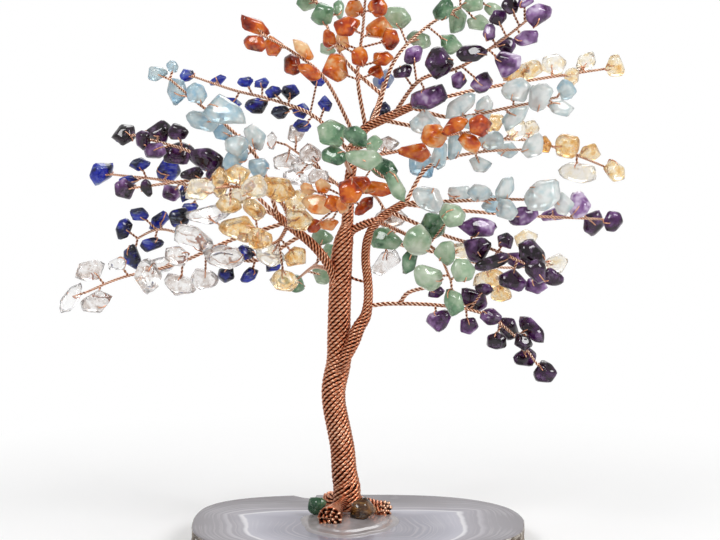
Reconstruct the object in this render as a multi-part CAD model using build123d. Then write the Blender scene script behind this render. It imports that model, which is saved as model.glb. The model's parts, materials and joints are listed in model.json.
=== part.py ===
from build123d import *
import os
from math import cos, pi, radians, sin

import numpy as np

# Gemstone tree: a trunk of twisted copper ropes on an agate slice, with drilled chips on wire twigs.
# Millimetres, +Z up, origin at the middle of the agate's underside, the viewer on the -Y side.

# Agate slice
BASE_LENGTH = 101.0
BASE_DEPTH = 76.0
BASE_THICKNESS = 8.0
BASE_RIM_DRAW = 0.7
BASE_SQUARENESS = 2.6
BASE_POINTS = 28
BASE_WAVE_SLOW = 0.012
BASE_WAVE_QUICK = 0.008
NICK_RADIUS = 3.0
NICK_PLACE = -14.5

# Resin that holds the roots on the agate
GLUE_WIDTH = 29.0
GLUE_DEPTH = 38.0
GLUE_HEIGHT = 1.8
GLUE_FORWARD = 13.0
GLUE_PLACE = -2.4
GLUE_SIDES = 18
GLUE_WAVE = 0.06
# Shares of the puddle's outline and of its height, from its edge in to its top
GLUE_PROFILE = [(1.0, 0.0), (0.94, 0.5), (0.78, 0.85), (0.45, 1.0)]

# Trunk: three ropes, twisted up to the first fork, each running on as a limb
TRUNK_DEPTH = 12.0
LEFT_ROPE = 4.1
COLUMN_ROPE = 3.9
RIGHT_ROPE = 2.9
LIMB_TIP = 2.5
ROOT_FLARES = {"left": 1.65, "right": 1.95, "column": 1.4}
TWIST_TURNS = 0.8
TWIST_START = 282.0
TWIST_STEPS = 12
ROPE_GAP = 0.35
ROPE_SIDES = 10
ROPE_SPACING = 4.0
FLARE_SHARE = 0.09
TAPER_SHARE = 0.38

# Branch wires: a spine of twisted wires, and a twisted pair out to each chip
SPINE_START = 1.9
SPINE_TIP = 1.0
SPINE_SIDES = 5
TWIG = 0.85
TWIG_LEAST = 1.3
TWIG_SIDES = 5

# Chips
CHIP_FULLNESS = 1.15
CHIP_FLATNESS = 0.62
CHIP_LEAST = 2.4
CHIP_LEAN = 24.0
CHIP_UNEVEN = 0.2
CHIP_SWELL = 0.07
CHIP_TAPER = 0.26
CHIP_FOOT = 0.62
CHIP_CROWN = 0.58
CHIP_SHIFT = 0.06
CHIP_BELT = 0.12

# Clearances
FORK_GAP = 0.45
TWIG_GAP = 0.15
SEAT_GAP = 0.25
CHIP_GAP = 0.45
DEPTH_STEP = 1.5
DEPTH_TRIES = 16
START_STEP = 0.1
START_REACH = 6.0

# Tries for a twig: how far its root is drawn back along the spine, as a share of its length, and how far
# its aim is moved from the chip's middle to a corner
TWIG_BACK = (0.5, 0.2, 0.9, 0.0, -0.4, 1.4, -0.8, 2.0)
TWIG_AIM = 0.4

# The front view is drawn at the trunk, as seen from this far away and this high
VIEW_DISTANCE = 700.0
VIEW_HEIGHT = 162.0

# Each root stone: kind, place on the agate (x, y), length, width, tilt
ROOT_STONES = {
    "root_stone_aventurine": (-12.0, 6.5, 6.0, 5.4, 70),
    "root_stone_tiger_eye": (1.9, -1.6, 9.0, 7.2, 8),
}

# Limb routes: (x, height above the agate, depth behind the trunk) after the twist
LIMBS = {
    "left": [(-6.6, 58, -1.6), (-7.2, 66, -1.8), (-10, 75, -2.6), (-15, 83, -3.4), (-24, 91, -4)],
    "right": [(0.4, 56, -2), (3.1, 61, -1.6), (3.7, 69, -1), (2.9, 77, -0.5), (3.6, 84, -1.6),
              (7.4, 89.8, -2), (14.7, 94.5, -2)],
    "column": [(-3.6, 58, 2.6), (-3.4, 68, 2.6), (-3, 80, 2), (-2.4, 92, 1), (-1.5, 104, 0),
               (1.8, 115.5, 0), (8.5, 119.5, 0), (17.4, 123.6, 0)],
}

# Root stubs: (x, y) on the agate, from the cut end in to the foot of the trunk, and the end's height
ROOTS = {
    "left": [(-7.8, -7.5, 3.7), (-6.8, -2.5, 3.9), (-5.8, 3.0, 4.4)],
    "right": [(8.8, 5.5, 3.1), (4.4, 9.6, 3.8)],
    "column": [(-7.8, 19.5, 3.0), (-6.8, 16.4, 3.8)],
}

# The trunk's middle line: (x, height above the agate)
TRUNK_LINE = [(-2.6, 7), (-3.6, 13), (-4.2, 20), (-5.6, 27), (-6.8, 34), (-6.6, 40), (-5.2, 45), (-4.2, 50)]

# Branches, as seen from the front: the limb each leaves, how far behind the trunk each spine's tip is, the
# spines as (x, height above the agate), and the chips as (x, height, length, width, tilt), with how far
# behind the trunk a chip is where the branch points at the viewer or away
BRANCHES = {
    "carnelian_upper_left": {
        "limb": "column", "depths": [-26],
        "spines": [[(0.6, 111), (-9, 131), (-19, 139.5), (-29, 145)]],
        "chips": [(-30, 147, 9.3, 4.5, -20), (-30, 142, 6.6, 4.8, -10), (-24.5, 141, 6, 6, 30),
                  (-19, 135.5, 6, 5.4, -30), (-15.5, 140, 8, 3.8, -35), (-14, 133.5, 7.8, 3.8, -20)],
    },
    "carnelian_top": {
        "limb": "column", "depths": [-6],
        "spines": [[(1.8, 115.5), (0.5, 132), (2, 146), (3, 158)]],
        "chips": [(-6, 134.5, 8.5, 8, 60), (-8, 143.5, 6, 4.2, 80), (-4, 142, 6, 4.2, 100),
                  (-0.5, 152, 6, 5, 70), (-2.5, 147, 7.5, 6, 20), (6.5, 152.5, 6, 5, 60),
                  (7, 146, 7.5, 7.5, 0), (10, 143, 6.6, 5, 70), (8, 137.5, 6.3, 4.5, 10),
                  (1, 138, 5.7, 5, 90), (6, 133.5, 4.8, 4, 0), (0, 158, 6, 5, 80), (6, 159, 7, 5, 45)],
    },
    "aventurine_top": {
        "limb": "column", "depths": [18, 20],
        "spines": [[(4, 117), (11, 136), (20, 146), (30, 152), (38, 155)],
                   [(4, 128), (-4, 138), (-12, 155)]],
        "chips": [(12, 149.5, 8, 6.6, -10), (18.5, 143, 8, 5, -20), (26, 152, 6.6, 5.4, 60),
                  (30, 149, 9.6, 5.4, 80), (34.5, 153.5, 6, 5, 20), (36, 148, 6.6, 4.5, 10),
                  (40.5, 152, 5, 3.8, 0), (28, 141.5, 7.5, 5.4, -20), (31, 158, 7, 5, 30),
                  (38, 158.5, 6, 5, -20), (-14.5, 154, 6, 5, 0), (-10, 150.5, 7.2, 6.6, 30),
                  (-5, 152, 6, 3.2, 90), (-8.5, 140, 5, 4, 0), (-12, 159, 7, 5, 50),
                  (-17, 157.5, 6, 4.5, -20)],
    },
    "amethyst_upper_right": {
        "limb": "column", "depths": [-36],
        "spines": [[(9, 119.6), (19, 131), (31, 135), (42, 142), (51, 149)]],
        "chips": [(17, 138.5, 6, 5, 30), (14, 133.5, 6, 5, 0), (24.5, 136, 9, 7.8, 60),
                  (30.5, 131, 5.7, 4.5, 90), (34.5, 139, 9, 4.8, 10), (45, 136, 7.8, 7, 20),
                  (37.5, 130, 6.6, 6, 0), (21.5, 126, 12.5, 6.6, 10), (39.5, 145.5, 5.4, 3.4, 90),
                  (42, 149.5, 5, 4.5, 45), (45.5, 153, 5, 4.5, 20), (50, 154.5, 4.8, 4.2, 0),
                  (54, 150.5, 8, 5.4, 20), (50.5, 143.5, 7.2, 4.5, 25), (44.5, 141.5, 5.5, 4.5, 0)],
    },
    "citrine_upper_right": {
        "limb": "column", "depths": [8],
        "spines": [[(17.4, 123.6), (35, 128), (52, 131), (65, 133), (75, 134.5)]],
        "chips": [(47, 132.5, 7, 5, 0), (52, 134, 7, 6, 20), (58.5, 135.5, 7.5, 6.6, 0),
                  (64, 132, 5.4, 4.2, 90), (68.5, 136.5, 6.6, 5.4, 60), (77, 135, 6.6, 5.4, 110)],
    },
    "aquamarine_upper_right": {
        "limb": "column", "depths": [-11],
        "spines": [[(13, 121.5), (29, 120), (46, 123), (60, 126)]],
        "chips": [(20.5, 118, 8, 8, 20), (31, 123.5, 10.5, 5.4, 45), (38, 122.5, 7.5, 5.4, 80),
                  (54.5, 126, 8.4, 6.6, 70), (47.5, 120.5, 10.8, 5.4, 45), (62.5, 128, 5.7, 5.4, 0),
                  (61, 123, 8, 5, -10), (47.5, 128, 9, 6, 10), (35, 118.5, 8, 4.5, -10)],
    },
    "citrine_right": {
        "limb": "column", "depths": [35],
        "spines": [[(6, 118), (34, 114), (52, 113), (66, 108.5), (76, 104.5)]],
        "chips": [(41, 118.5, 7, 6, 0), (47.5, 116, 7, 6, 20), (52, 116.5, 6, 5, 80),
                  (56, 112, 5.4, 4.2, 90), (63, 111.5, 7.8, 7.5, 30), (70, 109.5, 7.2, 5.4, -20),
                  (66.5, 103.5, 12, 6.3, -5), (77.5, 104, 8.4, 6, -20)],
    },
    "carnelian_right": {
        "limb": "column", "depths": [-34],
        "spines": [[(-0.4, 107), (15, 110.5), (27, 114.5), (37, 116)]],
        "chips": [(23, 114.5, 7, 7, 0), (17.5, 109.5, 10, 5, -10), (29.5, 117.5, 7.8, 4.5, 20),
                  (37, 117.5, 7, 6, 0), (34, 112.5, 6.5, 5, -20)],
    },
    "aquamarine_right": {
        "limb": "right", "depths": [2],
        "spines": [[(14.7, 94.5), (22, 105.5), (36, 109.5), (52, 110.5)]],
        "chips": [(19.5, 105.5, 8.4, 7.5, 20), (25, 109, 9, 4.5, 85), (29.5, 111.5, 8.4, 5, 70),
                  (40, 113, 7.5, 5.4, 10), (45, 110.5, 6.5, 5, 0), (53, 111.5, 7.2, 6, 80),
                  (37, 106, 7, 4.4, 0)],
    },
    "aquamarine_low_right": {
        "limb": "right", "depths": [-15],
        "spines": [[(13.6, 93.8), (30, 95), (45, 95.5), (60, 95)]],
        "chips": [(21.5, 95.5, 9.3, 7.2, -15), (31, 97.5, 7.8, 4.8, 10), (37, 97.5, 6.5, 5, 0),
                  (40.5, 94, 6, 5, 20), (44.5, 98.5, 7.5, 4.8, 60), (45, 92, 6.6, 6.3, 0),
                  (56, 97, 11, 8.5, 35), (62, 94, 7, 5.4, 80)],
    },
    "amethyst_right": {
        "limb": "right", "depths": [2],
        "spines": [[(11.4, 92.6), (33, 92), (52, 90.5), (74, 89.5)]],
        "chips": [(50, 90.5, 8.7, 5.7, 0), (59.5, 91, 8.4, 5, 10), (66.5, 93.5, 7.8, 6.3, 60),
                  (71, 88.5, 8, 7, 80), (77, 89, 6, 5.7, 0)],
    },
    "aventurine_right": {
        "limb": "right", "depths": [-50],
        "spines": [[(6.4, 88.6), (15, 85), (24, 80), (29, 70)]],
        "chips": [(9, 83.5, 8.7, 7.2, -10), (18.5, 83, 8.7, 8.4, 0), (23, 87.5, 9, 8, 60),
                  (29, 91, 7.5, 7, 20), (16, 76.5, 8.4, 4.5, 85), (21.5, 72, 9, 6.6, -35),
                  (27, 79.5, 7.5, 6, 60), (32, 74, 7, 6.3, 0), (29.5, 64.5, 7.5, 6, -50)],
    },
    "amethyst_mid_right": {
        "limb": "right", "depths": [-33],
        "spines": [[(9.2, 91), (27, 84.5), (42, 80), (57, 73)]],
        "chips": [(36.5, 87, 11.4, 5.4, 5), (36.5, 80.5, 8, 7.5, 20), (41, 76.5, 10.8, 4.5, 10),
                  (44.5, 83, 4.8, 4.5, 0), (53, 79, 9.6, 6.6, -30), (48.5, 77, 6, 5, 0),
                  (54, 74, 7.5, 5.4, -45), (47, 71, 7.2, 6.6, 0), (59, 72, 7, 4.4, -20),
                  (54, 69.5, 6, 5, 0)],
    },
    "citrine_low_right": {
        "limb": "right", "depths": [24],
        "spines": [[(3.4, 84.4), (26, 79), (43, 75), (58, 76)]],
        "chips": [(31.5, 80, 7, 5.5, 0), (40, 71.5, 9.3, 6, 10), (43.5, 67, 7, 5, -20),
                  (51, 83.5, 7, 6, 0), (60, 76, 7, 5.4, 0)],
    },
    "amethyst_low_right": {
        "limb": "right", "depths": [-8, -12],
        "spines": [[(3.5, 63), (11, 64), (25, 63.5), (38, 61), (48, 54), (55, 45)],
                   [(11, 64), (16, 67.5), (23, 69), (31, 68.5)]],
        "chips": [(24, 67.5, 5, 3.6, 0), (25, 59, 7.2, 6, 20), (35, 65.5, 10.5, 5.7, -35),
                  (38.5, 68.5, 5, 4, 0), (34, 57.5, 6, 5, 0), (40.5, 60, 6, 5, 0),
                  (46, 56.5, 8.4, 6, -40), (53, 56, 9.6, 5, -35), (50.5, 52.5, 6, 5, 0),
                  (42, 52.5, 6, 5, 20), (51, 47.5, 7, 6, 0), (57, 43, 6.6, 6.6, 0)],
    },
    "aventurine_centre": {
        "limb": "column", "depths": [-44],
        "spines": [[(-1.6, 103), (-3, 107), (-1, 110), (1, 110)]],
        "chips": [(-7, 115, 8.7, 7.5, 20, -37), (0, 114.5, 7, 6, 0, -44), (5.5, 112, 5.4, 4.2, 80, -36),
                  (-6.5, 108.5, 7, 5.5, -20, -30), (2.5, 107.5, 10.8, 6, -20, -40),
                  (7.5, 105, 9, 5.4, -20, -33), (12, 99.5, 11, 4.4, -50, -40)],
    },
    "carnelian_centre": {
        "limb": "column", "depths": [-30],
        "spines": [[(-2.2, 94), (-4, 95), (-3, 97), (-2, 97.5)]],
        "chips": [(-14.5, 98.5, 4, 3.6, 0, -16), (-10, 99.5, 5, 4, 0, -22),
                  (-11.5, 94, 8.4, 6, -10, -19), (-7, 94.5, 5, 4.5, 60, -26), (-4, 94, 5, 4, 90, -29),
                  (-2, 97.5, 7.2, 6.6, 70, -33), (1, 100, 6, 5, 0, -26), (6.5, 98.5, 9, 4.5, -10, -20),
                  (2.5, 93.5, 7.2, 3.4, 40, -20), (-8, 88, 5.7, 3.6, 0, -15),
                  (-12.5, 87.5, 5, 4, 0, -11)],
    },
    "quartz_back": {
        "limb": "column", "depths": [34, 40],
        "spines": [[(-2, 97), (-8, 102), (-14, 107), (-21, 112)], [(-5, 100), (5, 97), (11, 88)]],
        "chips": [(-25, 113, 5, 3.4, 90), (-18, 115, 6, 5, 70), (-21, 107, 8, 6, 20),
                  (-13.5, 109, 7, 6, -20), (-18, 102, 8, 6, 0), (-11.5, 102, 7, 5, 30),
                  (9.5, 112, 7, 5, 20), (10.5, 90, 10.5, 6, 15), (8.5, 76, 12, 6, 45),
                  (-16, 106, 7, 5.5, 10)],
    },
    "aquamarine_left": {
        "limb": "left", "depths": [-24],
        "spines": [[(-21.5, 88.8), (-29, 107), (-38, 117), (-48, 125), (-56, 132)]],
        "chips": [(-59, 133, 6.6, 4, 0), (-54.5, 135, 3.4, 3.2, 0), (-53, 128, 7.2, 7, -45),
                  (-47.5, 127, 6.3, 5.4, -20), (-39, 121.5, 13, 8, -30), (-45.5, 119, 10, 6, -20),
                  (-40, 115.5, 6, 5, 0), (-35.5, 112, 7, 6, 45), (-30, 114, 8, 6, -45),
                  (-29, 105, 6.3, 5.7, 60), (-36, 107.5, 9, 6, 40)],
    },
    "lapis_upper": {
        "limb": "column", "depths": [28, 22],
        "spines": [[(-0.8, 107), (-12, 120), (-24, 125), (-36, 128), (-48, 132)],
                   [(-3, 110), (4, 118), (8, 129)]],
        "chips": [(-50, 132.5, 4.8, 3.6, 0), (-41, 131, 6, 3, 30), (-33, 130.5, 4.8, 3.2, 0),
                  (-28, 130, 4.4, 3.8, 0), (-24.5, 127.5, 4.5, 3.8, 0), (-19.5, 127.5, 6, 4.5, -20),
                  (-29.5, 123.5, 6.6, 5, 0), (-37, 124, 6.3, 3.6, 0), (-22.5, 121.5, 5, 4.2, 20),
                  (-16.5, 122, 5.5, 4.5, 0), (-16, 117.5, 5, 4, 0), (-9, 124, 4.8, 4.2, -45),
                  (-11.5, 131, 4.6, 3.8, 0), (8, 131, 7, 5.7, 70), (7.5, 121, 7.2, 6, 80)],
    },
    "amethyst_left": {
        "limb": "left", "depths": [12.5, -12],
        "spines": [[(-24, 91), (-38, 104), (-50, 110), (-60, 113), (-67, 115)],
                   [(-33, 99), (-45, 101.5), (-66, 99)]],
        "chips": [(-69, 115, 7, 6.3, 60), (-63.5, 113, 6, 4.4, 90), (-58.5, 115.5, 7.5, 7.5, 0),
                  (-53, 115.5, 6, 5, 0), (-53, 109, 10, 6.6, 25), (-44.5, 107.5, 10.5, 7.5, 0),
                  (-69, 98.5, 6.6, 5.7, 0), (-62.5, 99, 5, 3.8, 90), (-49, 103, 7.2, 4, 0),
                  (-42, 103, 6, 4.5, 0), (-55, 97.5, 6, 5, 0), (-60, 110, 7, 5, 10)],
    },
    "lapis_left": {
        "limb": "left", "depths": [35],
        "spines": [[(-22.6, 89.8), (-40, 97), (-56, 101), (-73, 103)]],
        "chips": [(-76, 103.5, 9.6, 6.6, 35), (-64.5, 106, 7, 3.8, 0), (-68, 101, 6.3, 3.6, 10),
                  (-56, 104, 9, 7, 70), (-51, 97, 5.4, 3.8, 90), (-49.5, 93, 5.4, 3.2, 0)],
    },
    "citrine_left": {
        "limb": "left", "depths": [-38, -30],
        "spines": [[(-18.2, 85.8), (-23, 95), (-34, 99), (-46, 98.5)],
                   [(-20, 89), (-24, 82.5), (-32, 83)]],
        "chips": [(-47, 98.5, 8.4, 6.3, 0), (-40.5, 100.5, 9.6, 4.5, 85), (-35, 103, 7, 6, 0),
                  (-30, 99, 7.5, 6.6, 70), (-23.5, 98.5, 10, 7.5, -10), (-18, 95, 7, 6, 20, -14),
                  (-17, 89.5, 7.5, 7, 0, -14), (-38, 94, 7, 5, 0), (-35, 86.5, 11, 7.2, 0),
                  (-29, 83.5, 7, 6, 20), (-25.5, 78.5, 8.4, 6.6, -10), (-21.5, 71, 7.8, 6, 0),
                  (-18.5, 78, 7, 5.5, 30, -16), (-30.5, 92.5, 7.5, 5.5, -50),
                  (-35, 97, 7, 5.5, 45)],
    },
    "lapis_low_left": {
        "limb": "left", "depths": [15],
        "spines": [[(-16.4, 84.2), (-31, 77), (-45, 82), (-58, 86.5), (-67, 83)]],
        "chips": [(-69.5, 86.5, 7, 4.5, 80), (-59, 89, 8, 4.5, 55), (-61, 82, 7.8, 3.8, 5),
                  (-67, 78, 8.4, 6, 80), (-53, 90, 6.6, 6, 0), (-65, 91, 6, 4.5, 0),
                  (-33, 79.5, 6, 4.5, 0), (-39, 73, 6, 5, 0), (-32, 72.5, 6, 4.2, 20),
                  (-25, 75.5, 5, 4, 0)],
    },
    "quartz_low_left": {
        "limb": "left", "depths": [-13],
        "spines": [[(-20.4, 87.8), (-38, 83), (-54, 76), (-70, 72), (-81, 67.5)]],
        "chips": [(-85.5, 66, 9.9, 4.5, 60), (-78, 64.5, 11, 6.6, 35), (-80, 74, 9, 6, 10),
                  (-71.5, 76, 6, 5, 0), (-62.5, 72.5, 9.6, 7.8, 80), (-53, 69.5, 10.8, 6, -20),
                  (-53.5, 78.5, 7, 6, 0), (-49, 83.5, 14, 7.2, -10), (-39.5, 78, 12, 7.2, -10),
                  (-44.5, 91, 14, 5.4, 0), (-45.5, 71.5, 8, 6, 0), (-58, 76, 7, 5.5, 20)],
    },
    "aventurine_low_left": {
        "limb": "left", "depths": [34],
        "spines": [[(-9, 73.6), (-10, 75), (-13, 75), (-17, 72)]],
        "chips": [(-19.5, 70.5, 8.4, 5.4, -10, 31), (-10, 72.5, 7, 5, 0, 25), (-10, 84, 6, 5, 0, 17),
                  (-8, 79.5, 6, 5, 45, 31)],
    },
}


def scatter(seed, turn):
    """A fixed, uneven value from -1 to 1 for each pair of numbers."""
    return sin(12.9898 * seed + 4.1414 * turn + 1.3 * seed * turn)


def unit(vector):
    return vector / np.linalg.norm(vector)


def seen(x, height, behind):
    """The place on the sight line through (x, height) at the trunk that is so far behind the trunk."""
    eye = np.array([0.0, TRUNK_DEPTH - VIEW_DISTANCE, BASE_THICKNESS + VIEW_HEIGHT])
    at_trunk = np.array([x, TRUNK_DEPTH, BASE_THICKNESS + height])
    return eye + (at_trunk - eye) * (1 + behind / VIEW_DISTANCE)


def faceted(points, faces):
    """A closed solid with flat faces, each a list of corner numbers."""
    rings = [[Vector(*points[i]) for i in face] for face in faces]
    return Solid(Shell([Face(Wire.make_polygon(ring, close=True)) for ring in rings]))


def hull_facts(points, directions):
    """Corners, directions to part by, middle and reach, for telling whether two pieces are apart."""
    middle = (points.min(axis=0) + points.max(axis=0)) / 2
    reach = np.linalg.norm(points - middle, axis=1).max()
    return points, directions, middle, reach


def apart(first, second, gap):
    """True if some direction parts the two pieces by more than the gap."""
    points_a, directions_a, middle_a, reach_a = first
    points_b, directions_b, middle_b, reach_b = second
    between = middle_b - middle_a
    distance = np.linalg.norm(between)
    if distance > reach_a + reach_b + gap:
        return True
    tries = np.concatenate([directions_a, -directions_b, [between / max(distance, 1e-6)]])
    room = (points_b @ tries.T).min(axis=0) - (points_a @ tries.T).max(axis=0)
    return bool((room > gap).any())


def ring_about(centre, along, radius, sides, lead):
    """A regular polygon of points square to a direction, its first corner nearest to lead."""
    x_side = unit(lead - along * (lead @ along))
    y_side = np.cross(along, x_side)
    angles = np.arange(sides) * 2 * pi / sides
    return centre + radius * (np.outer(np.cos(angles), x_side) + np.outer(np.sin(angles), y_side))


def tangents(line):
    """The direction of a line of points at each of them."""
    steps = np.diff(line, axis=0)
    steps /= np.linalg.norm(steps, axis=1)[:, None]
    middle = steps[:-1] + steps[1:]
    return np.array([unit(v) for v in np.concatenate([steps[:1], middle, steps[-1:]])])


def tube_rings(line, radii, sides):
    """Polygons along a line of points, each turned as little as it can be from the one before."""
    directions = tangents(line)
    lead = np.array([0.0, -1.0, 0.0]) if abs(directions[0][1]) < 0.9 else np.array([1.0, 0.0, 0.0])
    rings = []
    for centre, along, radius in zip(line, directions, radii):
        ring = ring_about(centre, along, radius, sides, lead)
        lead = ring[0] - centre
        rings.append(ring)
    return rings


def tube(line, radii, sides):
    """A wire or rope as one closed solid: rings joined by flat triangles, capped at both ends."""
    rings = tube_rings(line, radii, sides)
    faces = [list(range(sides))[::-1], list(range(len(rings) * sides - sides, len(rings) * sides))]
    for low in range(0, (len(rings) - 1) * sides, sides):
        for i in range(sides):
            j = (i + 1) % sides
            faces.append([low + i, low + j, low + sides + j])
            faces.append([low + i, low + sides + j, low + sides + i])
    return faceted(np.concatenate(rings), faces)


def tube_facts(line, radii, sides):
    """The tube's straight lengths, for telling whether it is apart from other pieces."""
    rings = tube_rings(line, radii, sides)
    facts = []
    for k in range(len(rings) - 1):
        along = unit(line[k + 1] - line[k])
        around = ring_about(np.zeros(3), along, 1.0, 2 * sides, rings[k][0] - line[k])
        facts.append(hull_facts(np.concatenate(rings[k:k + 2]), np.concatenate([around, [along, -along]])))
    return facts


def prism(start, end, radius, sides):
    """A straight twig as a closed solid with flat sides."""
    along = unit(end - start)
    lead = np.array([0.0, 0.0, 1.0]) if abs(along[2]) < 0.9 else np.array([1.0, 0.0, 0.0])
    rings = [ring_about(p, along, radius, sides, lead) for p in (start, end)]
    faces = [list(range(sides))[::-1], list(range(sides, 2 * sides))]
    faces += [[i, (i + 1) % sides, sides + (i + 1) % sides, sides + i] for i in range(sides)]
    return faceted(np.concatenate(rings), faces)


def chip_corners(centre, length, width, tilt, seed):
    """A tumbled chip: three like uneven polygons, the middle one widest, leaning a little to the view."""
    sides = 5 + seed % 2
    corner = np.array([k + CHIP_UNEVEN * (scatter(seed, 1) + scatter(seed, 9 + k)) for k in range(sides)])
    angles = corner * 2 * pi / sides
    swell = 1 + CHIP_SWELL * np.sin(2.0 * angles + 3 * scatter(seed, 2))
    half = CHIP_FULLNESS / 2 * swell
    taper = 1 + CHIP_TAPER * scatter(seed, 8) * np.cos(angles)
    outline = np.stack([length * np.cos(angles) * half, width * np.sin(angles) * half * taper], axis=1)
    thick = max(CHIP_LEAST, CHIP_FLATNESS * width)
    shift = CHIP_SHIFT * np.array([length * scatter(seed, 3), width * scatter(seed, 4)])
    belt = CHIP_BELT * thick * scatter(seed, 5)
    levels = [(CHIP_FOOT, -shift, -thick / 2), (1.0, 0 * shift, belt), (CHIP_CROWN, shift, thick / 2)]
    flat = np.concatenate([np.c_[outline * s + move, np.full(sides, z)] for s, move, z in levels])
    turn = radians(tilt)
    nod = radians(CHIP_LEAN) * scatter(seed, 6)
    sway = radians(CHIP_LEAN) * scatter(seed, 7)
    x_axis = np.array([cos(turn), 0, sin(turn)])
    y_axis = np.array([-sin(turn), 0, cos(turn)])
    z_axis = np.array([0.0, -1.0, 0.0])
    y_axis, z_axis = y_axis * cos(nod) + z_axis * sin(nod), z_axis * cos(nod) - y_axis * sin(nod)
    x_axis, z_axis = x_axis * cos(sway) + z_axis * sin(sway), z_axis * cos(sway) - x_axis * sin(sway)
    return centre + flat @ np.array([x_axis, y_axis, z_axis]), sides


def chip_faces(sides):
    """The chip's two end faces and its two belts of side faces."""
    faces = [list(range(sides))[::-1], list(range(2 * sides, 3 * sides))]
    for low in (0, sides):
        faces += [[low + i, low + (i + 1) % sides, low + sides + (i + 1) % sides, low + sides + i]
                  for i in range(sides)]
    return faces


def chip_facts(points, sides):
    """The chip's corners and face directions, for telling whether it is apart from other pieces."""
    normals = []
    for face in chip_faces(sides):
        a, b, c = points[face[0]], points[face[1]], points[face[2]]
        normals.append(unit(np.cross(b - a, c - a)))
    return hull_facts(points, np.array(normals))


def surface_reach(facts, start, towards):
    """How far along a line from start the chip's near surface lies."""
    points, normals, _, _ = facts
    offsets = (points @ normals.T).max(axis=0)
    speed = normals @ towards
    into = speed < -1e-9
    return ((offsets - normals @ start)[into] / speed[into]).max()


def along_line(line):
    """The distance along a line of points, at each of them."""
    return np.concatenate([[0.0], np.cumsum(np.linalg.norm(np.diff(line, axis=0), axis=1))])


def point_at(line, distance):
    """The point so far along a line, and the line's direction there."""
    reach = along_line(line)
    distance = min(max(distance, 0.0), reach[-1])
    k = min(int(np.searchsorted(reach, distance, side="right")) - 1, len(line) - 2)
    step = unit(line[k + 1] - line[k])
    return line[k] + step * (distance - reach[k]), step


def nearest_on(line, place):
    """How far along a line its nearest point to a place is."""
    starts, steps = line[:-1], np.diff(line, axis=0)
    lengths = np.linalg.norm(steps, axis=1)
    share = np.clip(((place - starts) * steps).sum(axis=1) / lengths**2, 0, 1)
    gaps = np.linalg.norm(starts + steps * share[:, None] - place, axis=1)
    k = int(gaps.argmin())
    return along_line(line)[k] + share[k] * lengths[k]


def fine_line(points, spacing):
    """A smooth line through points, at an even spacing: each stretch is a cubic with Catmull-Rom ends."""
    points = np.array(points, float)
    ends = np.concatenate([[2 * points[0] - points[1]], points, [2 * points[-1] - points[-2]]])
    pieces = []
    for a, b, c, d in zip(ends[:-3], ends[1:-2], ends[2:-1], ends[3:]):
        t = np.linspace(0, 1, 40, endpoint=False)[:, None]
        pieces.append(b + t * (c - a) / 2 + t**2 * (2 * a - 5 * b + 4 * c - d) / 2
                      + t**3 * (3 * b - a - 3 * c + d) / 2)
    dense = np.concatenate([*pieces, points[-1:]])
    reach = along_line(dense)
    even = np.linspace(0, reach[-1], max(2, round(reach[-1] / spacing) + 1))
    return np.stack([np.interp(even, reach, dense[:, k]) for k in range(3)], axis=1)


def place_on_base(x, y, height):
    return np.array([x, y, BASE_THICKNESS + height])


ROPES = {"left": LEFT_ROPE, "right": RIGHT_ROPE, "column": COLUMN_ROPE}


def rope_line(name, order):
    """One rope: in from its root stub, round the trunk's middle line in a twist, and out along its limb."""
    middle = fine_line([(x, TRUNK_DEPTH, BASE_THICKNESS + h) for x, h in TRUNK_LINE], 1.0)
    bundle = sorted(ROPES.values())[-2:]
    radius = sum(bundle) / 2 / np.sqrt(3) + ROPE_GAP
    turns = []
    for k in range(TWIST_STEPS + 1):
        share = k / TWIST_STEPS
        centre = middle[round(share * (len(middle) - 1))]
        angle = radians(TWIST_START) + 2 * pi * (order / len(ROPES) + TWIST_TURNS * share)
        turns.append(centre + radius * np.array([cos(angle), sin(angle), 0]))
    root = [place_on_base(*p) for p in ROOTS[name]]
    limb = [seen(*p) for p in LIMBS[name]]
    return fine_line([*root, *turns, *limb], ROPE_SPACING)


def rope_radii(name, line):
    """The rope's radius: flared at the cut root, even up the trunk, tapering out along the limb."""
    share = np.linspace(0, 1, len(line))
    flare = 1 + (ROOT_FLARES[name] - 1) * (1 - np.clip(share / FLARE_SHARE, 0, 1))
    body = ROPES[name] / 2
    tip = min(body, LIMB_TIP / 2)
    return body * flare + (tip - body) * np.clip((share + TAPER_SHARE - 1) / TAPER_SHARE, 0, 1)


def agate_outline(draw):
    """The slice's edge, drawn in a little: a rounded oblong by a superellipse, with a few slow waves."""
    points = []
    for k in range(BASE_POINTS):
        angle = 2 * pi * k / BASE_POINTS
        c, s = cos(angle), sin(angle)
        power = 2 / BASE_SQUARENESS
        wave = 1 + BASE_WAVE_SLOW * sin(3 * angle + 0.6) + BASE_WAVE_QUICK * sin(5 * angle + 2.0)
        points.append(((BASE_LENGTH / 2 - draw) * wave * abs(c) ** power * (1 if c >= 0 else -1),
                       (BASE_DEPTH / 2 - draw) * wave * abs(s) ** power * (1 if s >= 0 else -1)))
    return make_face(Spline(*points, periodic=True))


def agate_slice():
    """The polished slice, its rim drawn in a little to the top, with a small nick in the back edge."""
    slab = loft([agate_outline(0), Pos(0, 0, BASE_THICKNESS) * agate_outline(BASE_RIM_DRAW)], ruled=True)
    back = slab.bounding_box().max.Y
    nick = Pos(NICK_PLACE, back, BASE_THICKNESS) * Sphere(NICK_RADIUS)
    return slab - nick


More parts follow.
